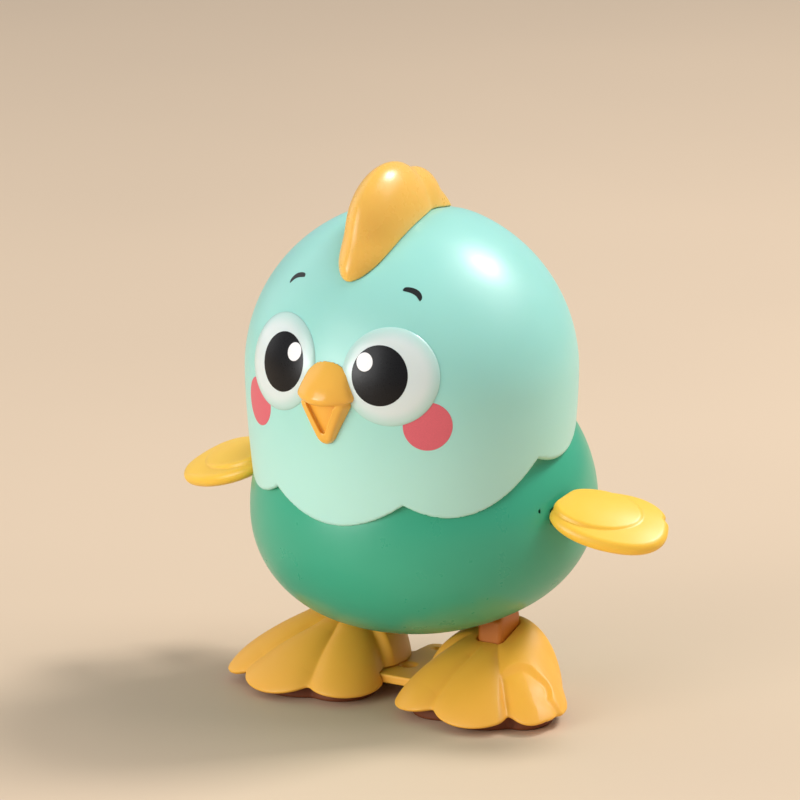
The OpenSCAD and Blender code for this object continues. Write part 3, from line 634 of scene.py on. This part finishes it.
def beak_field(x, y, z):
    """Upper half with a rolled lip, over a lower half with a shallow recess."""
    ax = np.sqrt(x * x + 0.05)
    brow_y = BEAK_FRONT + 0.08 * x * x + 6 * (np.maximum(z - 71, 0) / 7.6) ** 1.5
    facet = side_plane(ax, y, z, UPPER_SIDE) + TOP_BEND[1] * np.maximum(z - TOP_BEND[0], 0) ** 2
    upper = smax(brow_y - y, facet, 0.4)
    upper = smax(upper, LIP_Z + 0.02 * x * x - z, 1.6)
    sides = side_plane(ax, y, z, LOWER_SIDE)
    face_y = -38.1 + 0.28 * (70 - z) + 0.05 * x * x
    lower = smax(smax(sides, face_y - y, 0.5), smax(LOWER_SPAN[0] - z, z - LOWER_SPAN[1], 0.5), 1.8)
    hollow = smax(sides + RECESS_RIM, y - face_y - RECESS_DEPTH, 0.4)
    recess = smax(hollow, smax(RECESS_SPAN[0] - z, z - RECESS_SPAN[1], 0.3), 0.4)
    lower = smax(lower, -recess, 0.4)
    f = smin(upper, lower, 0.25)
    return smax(f, 0.03 - head_skin(x, y, z), 0.15)


piece("beak_skin", net(beak_field, (-9.5, -41, 59), (9.5, -26, 80.5), 0.22), BEAK, "shell", "beak")

# ---------- eyes and printed face ----------

HEAD_MID = np.array([0, HEAD_Y, HEAD_Z])
EYE_OUT = np.array([0.3896, -0.9048, 0.1728])
EYE_SIDE = np.array([0.9185, 0.3955, 0.0])
EYE_UP = np.array([-0.0683, 0.1587, 0.9851])
EYE_R = 9.95
EYE_LIFT = 0.2
EYE_RIM = 0.6
EYE_DOME = 0.6
PRINT_SINK = 0.05


def on_head(p, out):
    """Slides points along a direction onto the head's skin, and gives the skin's normals there."""
    p = p + out * 33.0
    for _ in range(8):
        value, g = slope(head_skin, p)
        p = p - out * (value / (g @ out))[:, None]
    g = slope(head_skin, p)[1]
    return p, g / np.linalg.norm(g, axis=1)[:, None]


def eye_rise(q):
    """Height of the eye's disc over the head, from its middle (0) to its rim (1)."""
    return EYE_RIM * np.sqrt(np.maximum(1 - q ** 7, 0)) + EYE_DOME * (1 - q * q)


def pad(flat, frame_axes, height, thick, sink, rings=28, sides=144):
    """Closed disc laid over the head. flat(share, angle) gives the two offsets across it."""
    out, side, up = frame_axes
    share = np.sin(np.linspace(0, 1, rings + 1)[1:] * math.pi / 2)
    angle = np.arange(sides) * 2 * math.pi / sides
    s, u = flat(share[:, None], angle[None, :])
    s = np.append(s.ravel(), flat(np.zeros(1), np.zeros(1))[0])
    u = np.append(u.ravel(), flat(np.zeros(1), np.zeros(1))[1])
    base, normal = on_head(HEAD_MID + s[:, None] * side + u[:, None] * up, out)
    lift = height(s, u)
    top = base + normal * (lift + thick)[:, None]
    bottom = base + normal * (lift - sink)[:, None]
    n = rings * sides
    faces = []
    for k in range(rings - 1):
        a = k * sides + np.arange(sides)
        b = k * sides + (np.arange(sides) + 1) % sides
        faces.append(np.stack([a, b, b + sides, a + sides], 1))
    top_faces = np.concatenate(faces)
    a = np.arange(0, sides, 2)
    fan = np.stack([np.full(len(a), n), (a + 2) % sides, a + 1, a], 1)
    total = n + 1
    rim = (rings - 1) * sides + np.arange(sides)
    rim2 = (rings - 1) * sides + (np.arange(sides) + 1) % sides
    wall = np.stack([rim, rim2, rim2 + total, rim + total], 1)
    turned = np.concatenate([top_faces[:, ::-1], fan[:, ::-1]])
    points = np.concatenate([top, bottom])
    return points, np.concatenate([turned, top_faces + total, fan + total, wall[:, ::-1]]), None


def eye_lift(s, u):
    """Height of the eye at an offset across it."""
    return eye_rise(np.minimum(np.hypot(s, u - EYE_LIFT) / EYE_R, 1))


EYE_AXES = (EYE_OUT, EYE_SIDE, EYE_UP)


def disc(s0, u0, rs, ru):
    """Outline of an ellipse by its middle and its two radii."""
    return lambda share, angle: (s0 + rs * share * np.cos(angle), u0 + ru * share * np.sin(angle))


def level(s, u):
    """No height of its own: a print that lies on the head."""
    return np.zeros_like(s)


eye = pad(disc(0, EYE_LIFT, EYE_R, EYE_R), EYE_AXES, eye_lift, 0.0, 1.2, 60, 192)
pupil = pad(disc(-1.98, 0.45, 5.6, 5.95), EYE_AXES, eye_lift, 0.04, 0.06)
glint = pad(disc(-4.98, 3.03, 1.65, 1.85), EYE_AXES, eye_lift, 0.08, 0.0, 8, 64)
EYE_MID = eye[0][:len(eye[0]) // 2].mean(0)
for tag, turn in (("left", lambda s: s), ("right", mirrored)):
    middle = EYE_MID * (1 if tag == "left" else -1, 1, 1)
    white = eye_plastic("eye_white_" + tag, middle, (0.70, 0.78, 0.76), (0.46, 0.70, 0.64))
    piece("eye_dome_" + tag, turn(eye), white, "shell", "eye_" + tag)
    piece("pupil_" + tag, turn(pupil), PUPIL, "shell")
    piece("glint_" + tag, turn(glint), GLINT, "shell")


def axes_towards(at):
    """Outward, sideways and upward directions at a place on the head."""
    out = np.array(at) / np.linalg.norm(at)
    side = np.cross(out, (0, 0, 1))
    side /= -np.linalg.norm(side)
    return out, side, np.cross(side, out) * -1


CHEEK_AT = (20.2, -27.4, -4.1)
CHEEK_R = 5.0
PRINT_THICK = 0.03
cheek = pad(disc(0, 0, CHEEK_R, CHEEK_R), axes_towards(CHEEK_AT), level, PRINT_THICK, PRINT_SINK, 12, 96)
BROW_FROM = np.array([11.4, -23.6, 92.1]) - HEAD_MID
BROW_TO = np.array([15.3, -23.3, 90.2]) - HEAD_MID
BROW_HALF = 0.62
BROW_BEND = 0.8
BROW_LEAN = 0.25


def brow_stroke():
    """Short arched stroke: bends up in the middle and thins at its ends."""
    out, side, up = axes_towards((BROW_FROM + BROW_TO) / 2)
    a = np.array([BROW_FROM @ side, BROW_FROM @ up])
    b = np.array([BROW_TO @ side, BROW_TO @ up])
    across = (b - a) / np.linalg.norm(b - a)
    over = np.array([-across[1], across[0]])
    over *= np.sign(over[1])

    def flat(share, angle):
        along = share * np.sign(np.cos(angle)) * np.sqrt(np.abs(np.cos(angle)))
        wide = BROW_HALF * share * np.sign(np.sin(angle)) * np.sqrt(np.abs(np.sin(angle)))
        bend = BROW_BEND * (1 - along * along) + BROW_LEAN * along * (1 - along * along)
        mid = (a + b) / 2
        half = np.linalg.norm(b - a) / 2
        s = mid[0] + across[0] * along * half + over[0] * (wide + bend)
        u = mid[1] + across[1] * along * half + over[1] * (wide + bend)
        return s, u

    return pad(flat, (out, side, up), level, PRINT_THICK, PRINT_SINK, 10, 72)


brow = brow_stroke()
for tag, turn in (("left", lambda s: s), ("right", mirrored)):
    piece("cheek_" + tag, turn(cheek), BLUSH, "shell")
    piece("brow_" + tag, turn(brow), BROW, "shell")

# ---------- wings ----------

WING_ROOT = np.array([34.23, -5.05, 44.99])
WING_SPAN = np.array([0.8713, 0.4633, -0.1616])
WING_CHORD = np.array([0.385, -0.850, -0.3603])
WING_UP = np.array([0.3043, -0.2517, 0.9188])
WING_LIFT = (0, 10, 20)
# Plans along the span and the chord: middle, then half sizes
INNER_PLAN = ((14.5, 0.0), (14.1, 9.0))
OUTER_PLAN = ((14.5, 0.0), (10.4, 9.0))
LOBE_PLAN = ((10.2, -1.0), (9.3, 6.5))
OUTER_POWER = 2.35
BLADE_N = (-2.3, 2.0)
LOBE_N = (-1.0, 2.95)
DENT_AT = (24.6, -3.0)
DENT_R = 0.9
WING_GAP = 0.32
PIN_CLEAR = 0.9


def plate(plan, n, low, high, r):
    """Slab of an outline between two heights, with rounded edges."""
    q = np.abs(n - (low + high) / 2) - (high - low) / 2 + r
    p = plan + r
    return np.hypot(np.maximum(p, 0), np.maximum(q, 0)) + np.minimum(np.maximum(p, q), 0) - r


def oval(a, c, centre, half, power):
    """Ellipse, or a squarer oval at powers over 2."""
    q = np.abs((a - centre[0]) / half[0]) ** power + np.abs((c - centre[1]) / half[1]) ** power
    return (q ** (1 / power) - 1) * min(half)


def wing_field(x, y, z):
    """Blade with a raised lobe, kept clear of the body over its whole swing, and its hinge lug."""
    d = (x - WING_ROOT[0], y - WING_ROOT[1], z - WING_ROOT[2])
    a, c, n = (sum(v * k for v, k in zip(d, axis)) for axis in (WING_SPAN, WING_CHORD, WING_UP))
    near = oval(a, c, *INNER_PLAN, 2.0)
    under = np.where(a < INNER_PLAN[0][0], near, oval(a, c, *OUTER_PLAN, OUTER_POWER))
    thin = 0.9 * np.clip(1 + under / 7, 0, 1.2) ** 2
    blade = plate(under, n, BLADE_N[0] + thin, BLADE_N[1] - thin, 1.15)
    over = oval(a, c, *LOBE_PLAN, 2.0)
    dome = 0.8 * np.clip(1 + over / 6, 0, 1.2) ** 2
    lobe = plate(over, n, LOBE_N[0], LOBE_N[1] - dome, 0.7)
    f = smin(blade, lobe, 0.25)
    dent = np.hypot(a - DENT_AT[0], c - DENT_AT[1]) - DENT_R
    f = smax(f, -dent, 0.8)
    for lift in WING_LIFT:
        t = math.radians(lift)
        dx, dz = x - PIN_X, z - PIN_Z
        up_x = PIN_X + dx * math.cos(t) - dz * math.sin(t)
        up_z = PIN_Z + dx * math.sin(t) + dz * math.cos(t)
        f = smax(f, WING_GAP - egg(up_x, y, up_z), 0.4 + 0.03 * lift)
    lug = round_rod(y, np.hypot(x - PIN_X, z - PIN_Z), (PIN_Y - LUG_HALF, PIN_Y + LUG_HALF), LUG_R, 0.3)
    arm = round_box(x, y, z, (PIN_X, ARM_Y - ARM_HALF, PIN_Z + ARM_Z[0]),
                    (PIN_X + 7, ARM_Y + ARM_HALF, PIN_Z + ARM_Z[1]), 0.35)
    f = smin(f, smin(lug, arm, 0.3), 0.3)
    return smax(f, PIN_CLEAR - np.hypot(x - PIN_X, z - PIN_Z), 0.2)


wing = net(wing_field, (28.5, -17, 35.5), (60, 16, 51), 0.3)
piece("wing_skin_left", wing, WING, "left_wing", "wing_left")
piece("wing_skin_right", mirrored(wing), WING, "right_wing", "wing_right")

# ---------- feet, legs and bridge ----------

ANKLE = (18.0, 4.0)
FOOT_TOP_R = 5.2
FOOT_TOP_Z = 15.2
FOOT_TOP_SLOPE = 0.34
FOOT_RIM_Z = 3.0
FOOT_WALL = 1.6
FOOT_CELL = 0.3
# Extra wall behind the step: how much, at which turn, and over how many degrees
STEP_BACKING = (1.3, 46, 24)
CREASE_DEPTH = 1.05
CREASE_AT = (-9, 24)
CREASE_SWEEP = 0.48
STEP_DEPTH = 1.0
STEP_ARCH_R = 12.5
STEP_MIDDLE = 44
STEP_SIDES = (29, 63.5)
# The profile from the top to the rim: how round it is at the toes, and how much rounder at the heel
TOE_POWER = 1.45
HEEL_ROUNDER = 0.4
HEEL_FADES = ((70, 60), (302, 12))
# Each lobe of the rim: start angle, start radius, bulge, drop, end angle, end radius
FOOT_LOBES = ((-58, 16, 4.6, 1.2, -7.2, 23.6), (-7.2, 23.6, 2, 1.7, 35.4, 24.9),
              (35.4, 24.9, 1.4, 1.3, 58, 25.8), (58, 25.8, -0.6, 0.8, 95, 13.9),
              (95, 13.9, -3.1, 0.4, 302, 16))
BRIDGE_Z = (3.1, 5.0)
BRIDGE_MID = ((-6.5, -7.0), (6.5, 18.0))
BRIDGE_ARM = ((-24.0, -5.0), (24.0, 10.5))
BRIDGE_HOLE = (-2.5, 1.5)
SOLE_INSET = 4.2
POST_LOW = (15.0, -0.3)
POST_TOP = 18.5
SOCKET_GAP = 0.2
LOBES_FROM = -58


def foot_rim(phi):
    """Radius and height of the rim, with its creases softened over a few degrees."""
    radius = np.zeros_like(phi)
    height = np.zeros_like(phi)
    base = (phi - LOBES_FROM) % 360 + LOBES_FROM
    soft = 2.0 + 10 * fade(base - 40, 12) * fade(125 - base, 12)
    for shift, weight in ((-1, 0.15), (-0.5, 0.2), (0, 0.3), (0.5, 0.2), (1, 0.15)):
        a = (phi + shift * soft - LOBES_FROM) % 360 + LOBES_FROM
        for start, r0, bulge, drop, end, r1 in FOOT_LOBES:
            s = np.clip((a - start) / (end - start), 0, 1)
            hump = 1 - (2 * s - 1) ** 2
            here = (a >= start) & (a < end)
            radius += weight * np.where(here, r0 + (r1 - r0) * s + bulge * hump, 0)
            height += weight * np.where(here, FOOT_RIM_Z - drop * hump, 0)
    return radius, height


def crease_depth(phi, r):
    """Depth of the two creases between the toes."""
    along = fade(r - 4.5, 5) * np.clip((29 - r) / 9, 0.3, 1)
    first = np.sqrt((phi - CREASE_AT[0]) ** 2 + 1.5)
    second = np.sqrt((phi - CREASE_AT[1] - CREASE_SWEEP * r) ** 2 + 1.5)
    return CREASE_DEPTH * along * (np.exp(-first / 6.5) + np.exp(-second / 6))


def step_depth(phi, r):
    """Depth of the arched step above the outer toe, seen only on the left foot."""
    arch = STEP_ARCH_R + 2 * ((phi - STEP_MIDDLE) / 16) ** 2
    outer = (STEP_SIDES[1] - phi + 1.4 * np.sin(r * 1.1)) * r * math.pi / 180
    inside = smin(smin(outer, r - arch, 2.0), (phi - STEP_SIDES[0]) * 0.35, 1.0)
    inside = np.clip(inside, 0, 12)
    edge = fade(inside, 2.0)
    edge = edge * edge * (3 - 2 * edge)
    return STEP_DEPTH * edge * np.exp(-inside / 7) * fade(27.5 - r, 7)


def foot_skin(x, y, z, wall):
    """Foot's surface, moved in by a wall; also the rim's height, the turn and the radius there."""
    dx = x - ANKLE[0]
    dy = y - ANKLE[1]
    r = np.hypot(dx, dy)
    phi = np.degrees(np.arctan2(dx, -dy))
    rim, rim_z = foot_rim(phi)
    base = (phi - LOBES_FROM) % 360 + LOBES_FROM
    begin, end = HEEL_FADES
    heel = fade(base - begin[0], begin[1]) * fade(end[0] - base, end[1])
    power = TOE_POWER - HEEL_ROUNDER * heel * heel * (3 - 2 * heel)
    top_r = FOOT_TOP_R - wall
    top_z = FOOT_TOP_Z - wall + FOOT_TOP_SLOPE * np.minimum(r, top_r) * dy / np.maximum(r, 0.1)
    across = np.maximum(r - top_r, 0) / (rim - wall - top_r)
    up = np.maximum(z - rim_z, 0) / (top_z - rim_z)
    q = (across ** (2 / power) + up ** (2 / power)) ** (power / 2)
    return (q - 1) * 10 + crease_depth(base, r), rim_z, base, r


def foot_field(x, y, z, stepped):
    """Hollow foot, open below, with room for the leg and the bridge."""
    skin, rim_z, phi, r = foot_skin(x, y, z, 0)
    hollow = foot_skin(x, y, z, FOOT_WALL)[0]
    if stepped:
        more, middle, spread = STEP_BACKING
        skin = skin + step_depth(phi, r)
        hollow = hollow + more * np.exp(-((phi - middle) / spread) ** 2)
    f = smax(skin, rim_z - z, 0.9)
    f = smax(f, -hollow, 0.4)
    gap = SOCKET_GAP
    leg = round_box(x, y, z, (POST_LOW[0] - gap, POST_LOW[1] - gap, 3),
                    (LEG_X[1] + gap, LEG_Y[1] + gap, 30), 1.1)
    f = smax(f, -leg, 0.4)
    mid = np.maximum(np.maximum(x - BRIDGE_MID[1][0] - gap, z - BRIDGE_Z[1] - gap),
                     np.maximum(BRIDGE_MID[0][1] - gap - y, y - BRIDGE_MID[1][1] - gap))
    arm = np.maximum(np.maximum(x - 12, z - BRIDGE_Z[1] - gap),
                     np.maximum(BRIDGE_ARM[0][1] - gap - y, y - BRIDGE_ARM[1][1] - gap))
    return smax(f, -np.minimum(mid, arm), 0.2)


def foot(stepped):
    """Mesh of a foot, with the step above its outer toe or without."""
    def field(x, y, z):
        return foot_field(x, y, z, stepped)
    return net(field, (0.5, -23.5, 0.8), (42, 18, 18.5), FOOT_CELL)


piece("foot_skin_left", foot(True), FOOT, "legs", "foot_left")
piece("foot_skin_right", mirrored(foot(False)), FOOT, "legs", "foot_right")

# The screw that holds each foot, seen from below
FOOT_SCREW = ((LEG_X[0] + LEG_X[1]) / 2, 3.8)
SCREW_R = 1.05
SOLE_TOP = 3.0
SOLE_HOLE_R = 2.35
SOLE_SEAT = 1.8


def sole_field(x, y, z):
    """Flat pad that follows the rim of the foot, with a stepped screw hole."""
    dx = x - ANKLE[0]
    dy = y - ANKLE[1]
    rim, _ = foot_rim(np.degrees(np.arctan2(dx, -dy)))
    f = plate((np.hypot(dx, dy) - rim + SOLE_INSET) * 0.95, z, 0, SOLE_TOP, 0.6)
    from_screw = np.hypot(x - FOOT_SCREW[0], y - FOOT_SCREW[1])
    f = smax(f, -np.maximum(from_screw - SOLE_HOLE_R, z - SOLE_SEAT), 0.3)
    return np.maximum(f, SCREW_BORE - from_screw)


sole = net(sole_field, (3, -21, -0.6), (39.5, 15.5, 3.6), 0.36)
piece("sole_pad_left", sole, SOLE_PAINTED_SHADE, "legs", "sole_left")
piece("sole_pad_right", mirrored(sole), SOLE_PAINTED_SHADE, "legs", "sole_right")


BRIDGE_CORNER = 2.4
HOLE_R = 1.6
HOLE_RIM = 0.5
# The shallow round mark behind the hole: its middle, its height over the plate and its radius
MARK = (-3.5, 14.5, 0.4, 1.2)
BRIDGE_BORE = 1.2


def rect(x, y, span, r):
    """Rectangle between two corners, rounded by r."""
    qx = np.abs(x - (span[0][0] + span[1][0]) / 2) - (span[1][0] - span[0][0]) / 2 + r
    qy = np.abs(y - (span[0][1] + span[1][1]) / 2) - (span[1][1] - span[0][1]) / 2 + r
    return np.hypot(np.maximum(qx, 0), np.maximum(qy, 0)) + np.minimum(np.maximum(qx, qy), 0) - r


def bridge_field(x, y, z):
    """Plate that joins the feet, with its open hole and a shallow mark."""
    plan = smin(rect(x, y, BRIDGE_MID, BRIDGE_CORNER), rect(x, y, BRIDGE_ARM, BRIDGE_CORNER), 0.8)
    f = plate(plan, z, BRIDGE_Z[0], BRIDGE_Z[1], 0.35)
    r = np.hypot(x - BRIDGE_HOLE[0], y - BRIDGE_HOLE[1])
    f = smax(f, HOLE_R - r, 0.15)
    f = smax(f, (HOLE_R - r + z - BRIDGE_Z[1] + HOLE_RIM) * 0.7, 0.15)
    mark = np.hypot(np.hypot(x - MARK[0], y - MARK[1]), z - BRIDGE_Z[1] - MARK[2]) - MARK[3]
    f = smax(f, -mark, 0.2)
    return np.maximum(f, BRIDGE_BORE - np.hypot(np.abs(x) - FOOT_SCREW[0], y - FOOT_SCREW[1]))


piece("bridge_plate", net(bridge_field, (-26, -9, 2), (26, 20, 6), 0.32), FOOT, "legs", "foot_bridge")

SHAFT_AT = (4.0, 26.0)
KNUCKLE_R = 3.3
ARM_T = 3.0
YOKE_Y = (-8.0, -4.4)
YOKE_Z = (24.0, 27.0)
SHAFT_HOLE_R = 1.56
YOKE_SCREW_R = 0.85
YOKE_HEAD = (1.5, 0.65)
FOOT_SCREW_HOLE = (1.15, 10)


def leg_field(x, y, z):
    """Leg lever: a post that thickens below, a knuckle round the shaft and an arm to the yoke."""
    post = round_box(x, y, z, (LEG_X[0], LEG_Y[0], BRIDGE_Z[1]), (LEG_X[1], LEG_Y[1], SHAFT_AT[1]), 1.0)
    thick = round_box(x, y, z, (POST_LOW[0], POST_LOW[1], BRIDGE_Z[1]), (LEG_X[1], LEG_Y[1], POST_TOP), 1.0)
    post = smin(post, thick, 0.8)
    r = np.hypot(y - SHAFT_AT[0], z - SHAFT_AT[1])
    knuckle = round_rod(x, r, LEG_X, KNUCKLE_R, 0.4)
    arm = round_box(x, y, z, (LEG_X[0], YOKE_Y[0], YOKE_Z[0]),
                    (LEG_X[0] + ARM_T, SHAFT_AT[0], YOKE_Z[1]), 0.4)
    f = smin(smin(post, knuckle, 1.0), arm, 0.5)
    f = smax(f, x - LEG_X[1], 0.3)
    f = smax(f, SHAFT_HOLE_R - r, 0.1)
    screw_y, screw_z = (YOKE_Y[0] + YOKE_Y[1]) / 2, (YOKE_Z[0] + YOKE_Z[1]) / 2
    bore = np.hypot(y - screw_y, z - screw_z)
    f = np.maximum(f, YOKE_SCREW_R - bore)
    f = np.maximum(f, -np.maximum(bore - YOKE_HEAD[0], LEG_X[0] + ARM_T - YOKE_HEAD[1] - x))
    from_screw = np.hypot(x - FOOT_SCREW[0], y - FOOT_SCREW[1])
    return np.maximum(f, -np.maximum(from_screw - FOOT_SCREW_HOLE[0], z - FOOT_SCREW_HOLE[1]))


leg = net(leg_field, (14, -9, 4), (21.8, 9, 30.3), 0.3)
piece("leg_post_left", leg, LEG_PAINTED_SHADE, "legs", "leg_left")
piece("leg_post_right", mirrored(leg), LEG_PAINTED_SHADE, "legs", "leg_right")

# ---------- knob and the screws seen from below ----------

FLUTES = 16
FLUTE_R = 0.85
FLUTE_OUT = 0.35
# The plain collar at the knob's inner end
COLLAR = 1.6
DISH = (7.2, 8.0)
ARBOR_HOLE = (1.62, 1.4)


def knob_field(x, y, z):
    """Round grip with flutes, a dished face and a blind hole for the arbor."""
    dy = y - KNOB_MID[1]
    dz = z - KNOB_MID[2]
    r = np.hypot(dy, dz)
    span = (KNOB_BOX[0][0], KNOB_BOX[1][0])
    radius = (KNOB_BOX[1][2] - KNOB_BOX[0][2]) / 2
    f = round_rod(x, r, span, radius, 0.9)
    turn = np.arctan2(dz, dy) * FLUTES / (2 * math.pi)
    off = (turn - np.round(turn)) * 2 * math.pi / FLUTES
    flute = np.hypot(r * np.cos(off) - radius - FLUTE_OUT, r * np.sin(off)) - FLUTE_R
    flute = np.maximum(flute, x - span[1] + COLLAR)
    f = smax(f, -flute, 0.35)
    dish = np.hypot(r, x - span[0] + DISH[0]) - DISH[1]
    f = smax(f, -dish, 0.5)
    return np.maximum(f, -np.maximum(r - ARBOR_HOLE[0], span[0] + ARBOR_HOLE[1] - x))


piece("knob_grip", net(knob_field, (KNOB_BOX[0][0] - 1, KNOB_MID[1] - 8, KNOB_MID[2] - 8),
                       (KNOB_BOX[1][0] + 1, KNOB_MID[1] + 8, KNOB_MID[2] + 8), 0.22),
      FOOT, "winder", "winding_knob")


PITCH = 0.8
THREAD_DEPTH = 0.1
# Half width, half length and depth of the cross recess
CROSS = (0.28, 1.15, 0.75)


def screw(at, low, head_r, head_h, shank_r, top):
    """Mesh of a screw that points up, with a thread and a cross recess in its head."""
    def field(x, y, z):
        dx, dy = x - at[0], y - at[1]
        r = np.hypot(dx, dy)
        head = round_rod(z, r, (low, low + head_h), head_r, 0.35)
        shank = np.maximum(np.maximum(r - shank_r, low + 0.3 - z), z - top)
        thread = THREAD_DEPTH * np.abs(((z / PITCH - np.arctan2(dy, dx) / (2 * math.pi)) % 1) - 0.5)
        f = smin(head, shank + thread, 0.1)
        half, reach, deep = CROSS
        arm = np.minimum(np.maximum(np.abs(dx) - half, np.abs(dy) - reach),
                         np.maximum(np.abs(dy) - half, np.abs(dx) - reach))
        return smax(f, -np.maximum(arm, z - low - deep), 0.08)
    return net(field, (at[0] - head_r - 0.6, at[1] - head_r - 0.6, low - 0.5),
               (at[0] + head_r + 0.6, at[1] + head_r + 0.6, top + 0.5), 0.16)


foot_screw = screw(FOOT_SCREW, 0.6, 2.2, 1.2, SCREW_R, 9.9)
piece("foot_screw_pair", joined(foot_screw, mirrored(foot_screw)), ZINC, "legs", "foot_screws")
shell_screws = [screw((0, at), seat - SCREW_HEAD[1], SCREW_HEAD[0], SCREW_HEAD[1], SCREW_R, 22.2)
                for at, seat in zip(SCREW_Y, SCREW_SEAT)]
piece("shell_screw_pair", joined(*shell_screws), ZINC, "shell", "shell_screws")

# ---------- CAD nodes that keep their own meshes ----------

CARRIED = {
    "frame_plate_left": NYLON, "frame_plate_right": NYLON, "frame_base": NYLON, "great_wheel": NYLON,
    "second_wheel": NYLON, "cam_wheel": NYLON, "hop_yoke": NYLON, "frame_pillars": STEEL,
    "second_arbor": STEEL, "cam_arbor": STEEL, "governor_arbor": STEEL, "winding_arbor": STEEL,
    "leg_shaft": STEEL, "wing_pins": STEEL, "shaft_clips": SPRING, "return_springs": SPRING,
    "mainspring": SPRING, "ratchet_click": SPRING, "ratchet_wheel": STEEL, "frame_screws": ZINC,
    "yoke_screws": ZINC, "second_pinion": ACETAL, "cam_pinion": ACETAL, "governor_pinion": ACETAL,
    "hop_cam": ACETAL, "governor_flywheel": BRASS,
}
for node, material in CARRIED.items():
    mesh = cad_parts[node].data
    mesh.materials.clear()
    mesh.materials.append(material)

# ---------- stage, lights and camera ----------

TARGET = Vector((-2.64, -1.59, 62.5)) * MM
VIEW = Vector((0.4984, -0.8295, 0.2521)).normalized()
DISTANCE = 1.3
FLOOR_REACH = 4.0
LENS = 285
SENSOR = 36
AMBIENT = 0.39


def plain_floor():
    """Pale flat floor, wide enough to fill the picture from every side."""
    floor = Look("floor")
    cloud = floor.noise(6, 2, 0.4)
    tone = floor.ramp(cloud, "Fac", (0.640, 0.488, 0.343), (0.655, 0.500, 0.352))
    floor.link(tone, "Color", floor.bsdf, "Base Color")
    gloss = floor.spread(cloud, "Fac", 0.5, 0.6)
    floor.link(gloss, "Result", floor.bsdf, "Roughness")
    corners = [(FLOOR_REACH * x, FLOOR_REACH * y, 0) for x, y in ((-1, -1), (1, -1), (1, 1), (-1, 1))]
    mesh = bpy.data.meshes.new("floor")
    mesh.from_pydata(corners, [], [(0, 1, 2, 3)])
    mesh.materials.append(floor.material)
    obj = bpy.data.objects.new("floor", mesh)
    bpy.context.scene.collection.objects.link(obj)


def aim(obj, at, towards):
    """Puts a light or camera at a place and turns it towards another."""
    obj.location = at
    obj.rotation_euler = (Vector(towards) - Vector(at)).to_track_quat("-Z", "Y").to_euler()


def softbox(name, direction, distance, size, power):
    """White rectangular light that faces the chicken."""
    light = bpy.data.lights.new(name, "AREA")
    light.shape = "RECTANGLE"
    light.size, light.size_y = size
    light.energy = power
    obj = bpy.data.objects.new(name, light)
    bpy.context.scene.collection.objects.link(obj)
    aim(obj, TARGET + Vector(direction).normalized() * distance, TARGET)


plain_floor()
softbox("key", (0.360, 0.503, 0.785), 1.1, (0.30, 0.30), 8)
softbox("key_halo", (0.50, 0.38, 0.78), 1.2, (0.9, 0.9), 6)
softbox("left_panel", (-0.85, 0.05, 0.42), 0.9, (0.6, 0.9), 1.2)
softbox("front_fill", (-0.30, -0.92, 0.32), 1.2, (0.8, 0.7), 6.3)
softbox("low_fill", (-0.45, -0.88, 0.12), 1.0, (0.5, 0.25), 2.2)

world = bpy.data.worlds.new("studio")
bpy.context.scene.world = world
world.use_nodes = True
world.node_tree.nodes["Background"].inputs["Color"].default_value = (0.95, 0.97, 1.0, 1)
world.node_tree.nodes["Background"].inputs["Strength"].default_value = AMBIENT

camera_data = bpy.data.cameras.new("camera")
camera_data.lens = LENS
camera_data.sensor_width = SENSOR
camera = bpy.data.objects.new("camera", camera_data)
bpy.context.scene.collection.objects.link(camera)
aim(camera, TARGET + VIEW * DISTANCE, TARGET)
bpy.context.scene.camera = camera
bpy.context.scene.view_settings.view_transform = "Standard"
